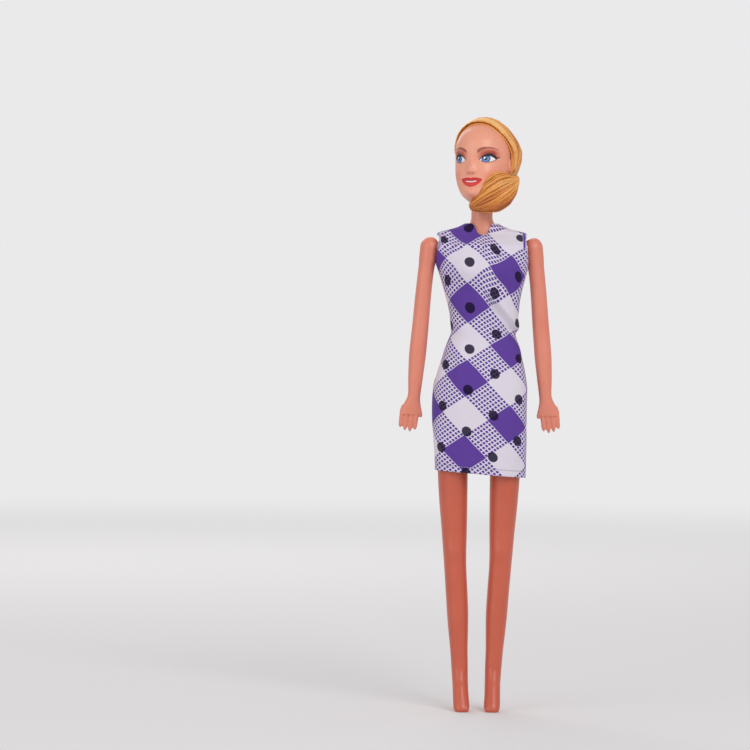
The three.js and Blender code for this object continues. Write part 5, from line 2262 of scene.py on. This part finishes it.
    def hang(self, piece: bpy.types.Object) -> None:
        """Lets the skirt follow the thighs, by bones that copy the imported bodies.

        Args:
            piece: The dress.
        """
        rig = bpy.data.armatures.new(f"{piece.name}_rig")
        holder = add_object(f"{piece.name}_rig", rig)
        bpy.context.view_layer.objects.active = holder
        bpy.ops.object.mode_set(mode="EDIT")
        bodies = ("torso", "left_leg", "right_leg")
        laps = {
            f"{leg}_{name}": (body or leg, leg, reach)
            for leg in bodies[1:]
            for name, body, reach in (
                ("lap", "torso", self.lap_above),
                ("thigh_lap", "", self.lap_below),
            )
        }
        for body in (*bodies, *laps):
            bone = rig.edit_bones.new(body)
            bone.head = (0, 0, 0)
            bone.tail = (0, 0.05, 0)
        bpy.ops.object.mode_set(mode="OBJECT")
        for name, body in [*zip(bodies, bodies), *((name, parts[0]) for name, parts in laps.items())]:
            copy = holder.pose.bones[name].constraints.new("COPY_TRANSFORMS")
            copy.target = frame["bodies"][body]
        for name, (_, leg, reach) in laps.items():
            rise = holder.pose.bones[name].constraints.new("TRANSFORM")
            rise.target = frame["bodies"][leg]
            rise.map_from, rise.map_to = "ROTATION", "LOCATION"
            rise.from_min_x_rot = -math.pi / 2
            rise.map_to_y_from = rise.map_to_z_from = "X"
            rise.to_min_y, rise.to_min_z = reach[0] * MM, reach[1] * MM
            rise.mix_mode = "ADD"
        groups = {name: piece.vertex_groups.new(name=name) for name in (*bodies, *laps)}
        for vert in piece.data.vertices:
            x, y, z = (part / MM for part in vert.co)
            behind = ease(y, -6, 8)
            front = ease(y, 1, -7)
            down = ease(z, HIP_HEIGHT + 9 + 5 * behind, HIP_HEIGHT - 12 + 11 * behind)
            down += (ease(z, HIP_HEIGHT + 6, HIP_HEIGHT - 6) - down) * front
            left = ease(x, -8, 8)
            above = front * ease(z, HIP_HEIGHT + 26, HIP_HEIGHT + 1)
            below = front * ease(z, HIP_HEIGHT - 24, HIP_HEIGHT - 1)
            weights = {"torso": (1 - down) * (1 - above)}
            for leg, share in (("left_leg", left), ("right_leg", 1 - left)):
                weights[leg] = down * (1 - below) * share
                weights[f"{leg}_lap"] = (1 - down) * above * share
                weights[f"{leg}_thigh_lap"] = down * below * share
            for name, weight in weights.items():
                if weight > 0:
                    groups[name].add([vert.index], weight, "REPLACE")
        follow_bodies = piece.modifiers.new("follow", "ARMATURE")
        follow_bodies.object = holder
        follow_bodies.use_deform_preserve_volume = True
        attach(holder, "torso")


# The room


@dataclass
class Studio:
    """Pale floor, soft lamps and the camera in front."""

    pixels: float = 750.0
    pixels_per_mm: float = 2.3
    distance: float = 1.25
    middle_x: float = -45.6
    middle_z: float = 144.8
    roll: float = math.radians(0.7)
    sensor: float = 36.0
    aim: float = 0.13
    floor_radius: float = 12.0
    floor_colour: Colour = (0.8, 0.79, 0.8, 1)
    backdrop: Colour = (0.83, 0.82, 0.83, 1)
    world_light: Colour = (1.0, 0.985, 0.98, 1)
    world_strength: float = 0.55

    def floor(self) -> None:
        """A wide pale floor that fades into the world."""
        bm = bmesh.new()
        bmesh.ops.create_circle(bm, cap_ends=True, segments=96, radius=self.floor_radius)
        ground = mesh_object("floor", bm)
        shader = Shader(bpy.data.materials.new("floor"))
        x, y, _ = shader.split(shader.place())
        far = (x * x + y * y).root().over(0.35, 2.2)
        near = shader.node("ShaderNodeBsdfDiffuse", {}, {"Color": self.floor_colour})
        glow = shader.node("ShaderNodeEmission", {}, {"Color": self.backdrop, "Strength": 1.0})
        camera = shader.node("ShaderNodeLightPath", output="Is Camera Ray")
        mixed = shader.node("ShaderNodeMixShader", {}, {0: far * camera, 1: near, 2: glow})
        ground.data.materials.append(shader.close(mixed))

    def world(self) -> None:
        """An even pale world."""
        shader = Shader(bpy.data.worlds.new("studio"))
        camera = shader.node("ShaderNodeLightPath", output="Is Camera Ray")
        light = shader.node(
            "ShaderNodeBackground", {}, {"Color": self.world_light, "Strength": self.world_strength}
        )
        seen = shader.node("ShaderNodeBackground", {}, {"Color": self.backdrop})
        mixed = shader.node("ShaderNodeMixShader", {}, {0: camera, 1: light, 2: seen})
        bpy.context.scene.world = shader.close(mixed, "ShaderNodeOutputWorld")

    def lamp(self, name: str, at: Vector, size: float, power: float) -> None:
        """One soft lamp that looks at the doll.

        Args:
            name: Its name.
            at: Its place in metres.
            size: Its width in metres.
            power: Its power in watts.
        """
        data = bpy.data.lights.new(name, "AREA")
        data.size = size
        data.energy = power
        lamp = add_object(name, data)
        lamp.location = at
        lamp.rotation_euler = (at - Vector((0, 0, self.aim))).to_track_quat("Z", "Y").to_euler()

    def camera(self) -> None:
        """The camera straight in front, framed as the photograph is."""
        data = bpy.data.cameras.new("camera")
        data.sensor_width = self.sensor
        data.lens = self.sensor * self.distance / (self.pixels / self.pixels_per_mm * MM)
        eye = add_object("camera", data)
        turn = Matrix.Rotation(math.pi / 2, 4, "X") @ Matrix.Rotation(self.roll, 4, "Z")
        place = Matrix.Translation((self.middle_x * MM, -self.distance, self.middle_z * MM))
        eye.matrix_world = place @ turn
        bpy.context.scene.camera = eye

    def build(self) -> None:
        """Sets the room up."""
        bpy.context.scene.view_settings.view_transform = "Standard"
        self.floor()
        self.world()
        self.lamp("key", Vector((0.55, -1.1, 0.95)), 0.7, 7.0)
        self.lamp("fill", Vector((-0.9, -0.9, 0.45)), 0.9, 3.0)
        self.lamp("rim", Vector((-0.3, 1.1, 0.9)), 0.9, 5.0)
        self.camera()


def main() -> None:
    """Builds the doll and the room."""
    logging.basicConfig(level=logging.INFO, format="%(name)s: %(message)s")
    Studio().build()
    Torso().build()
    for side in Side:
        Arm(side).build()
        Leg(side).build()
    head = Head()
    head.build()
    Hair(head).build()
    Dress(Arm(Side.LEFT)).build()


if __name__ == "__main__":
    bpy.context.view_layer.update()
    main()
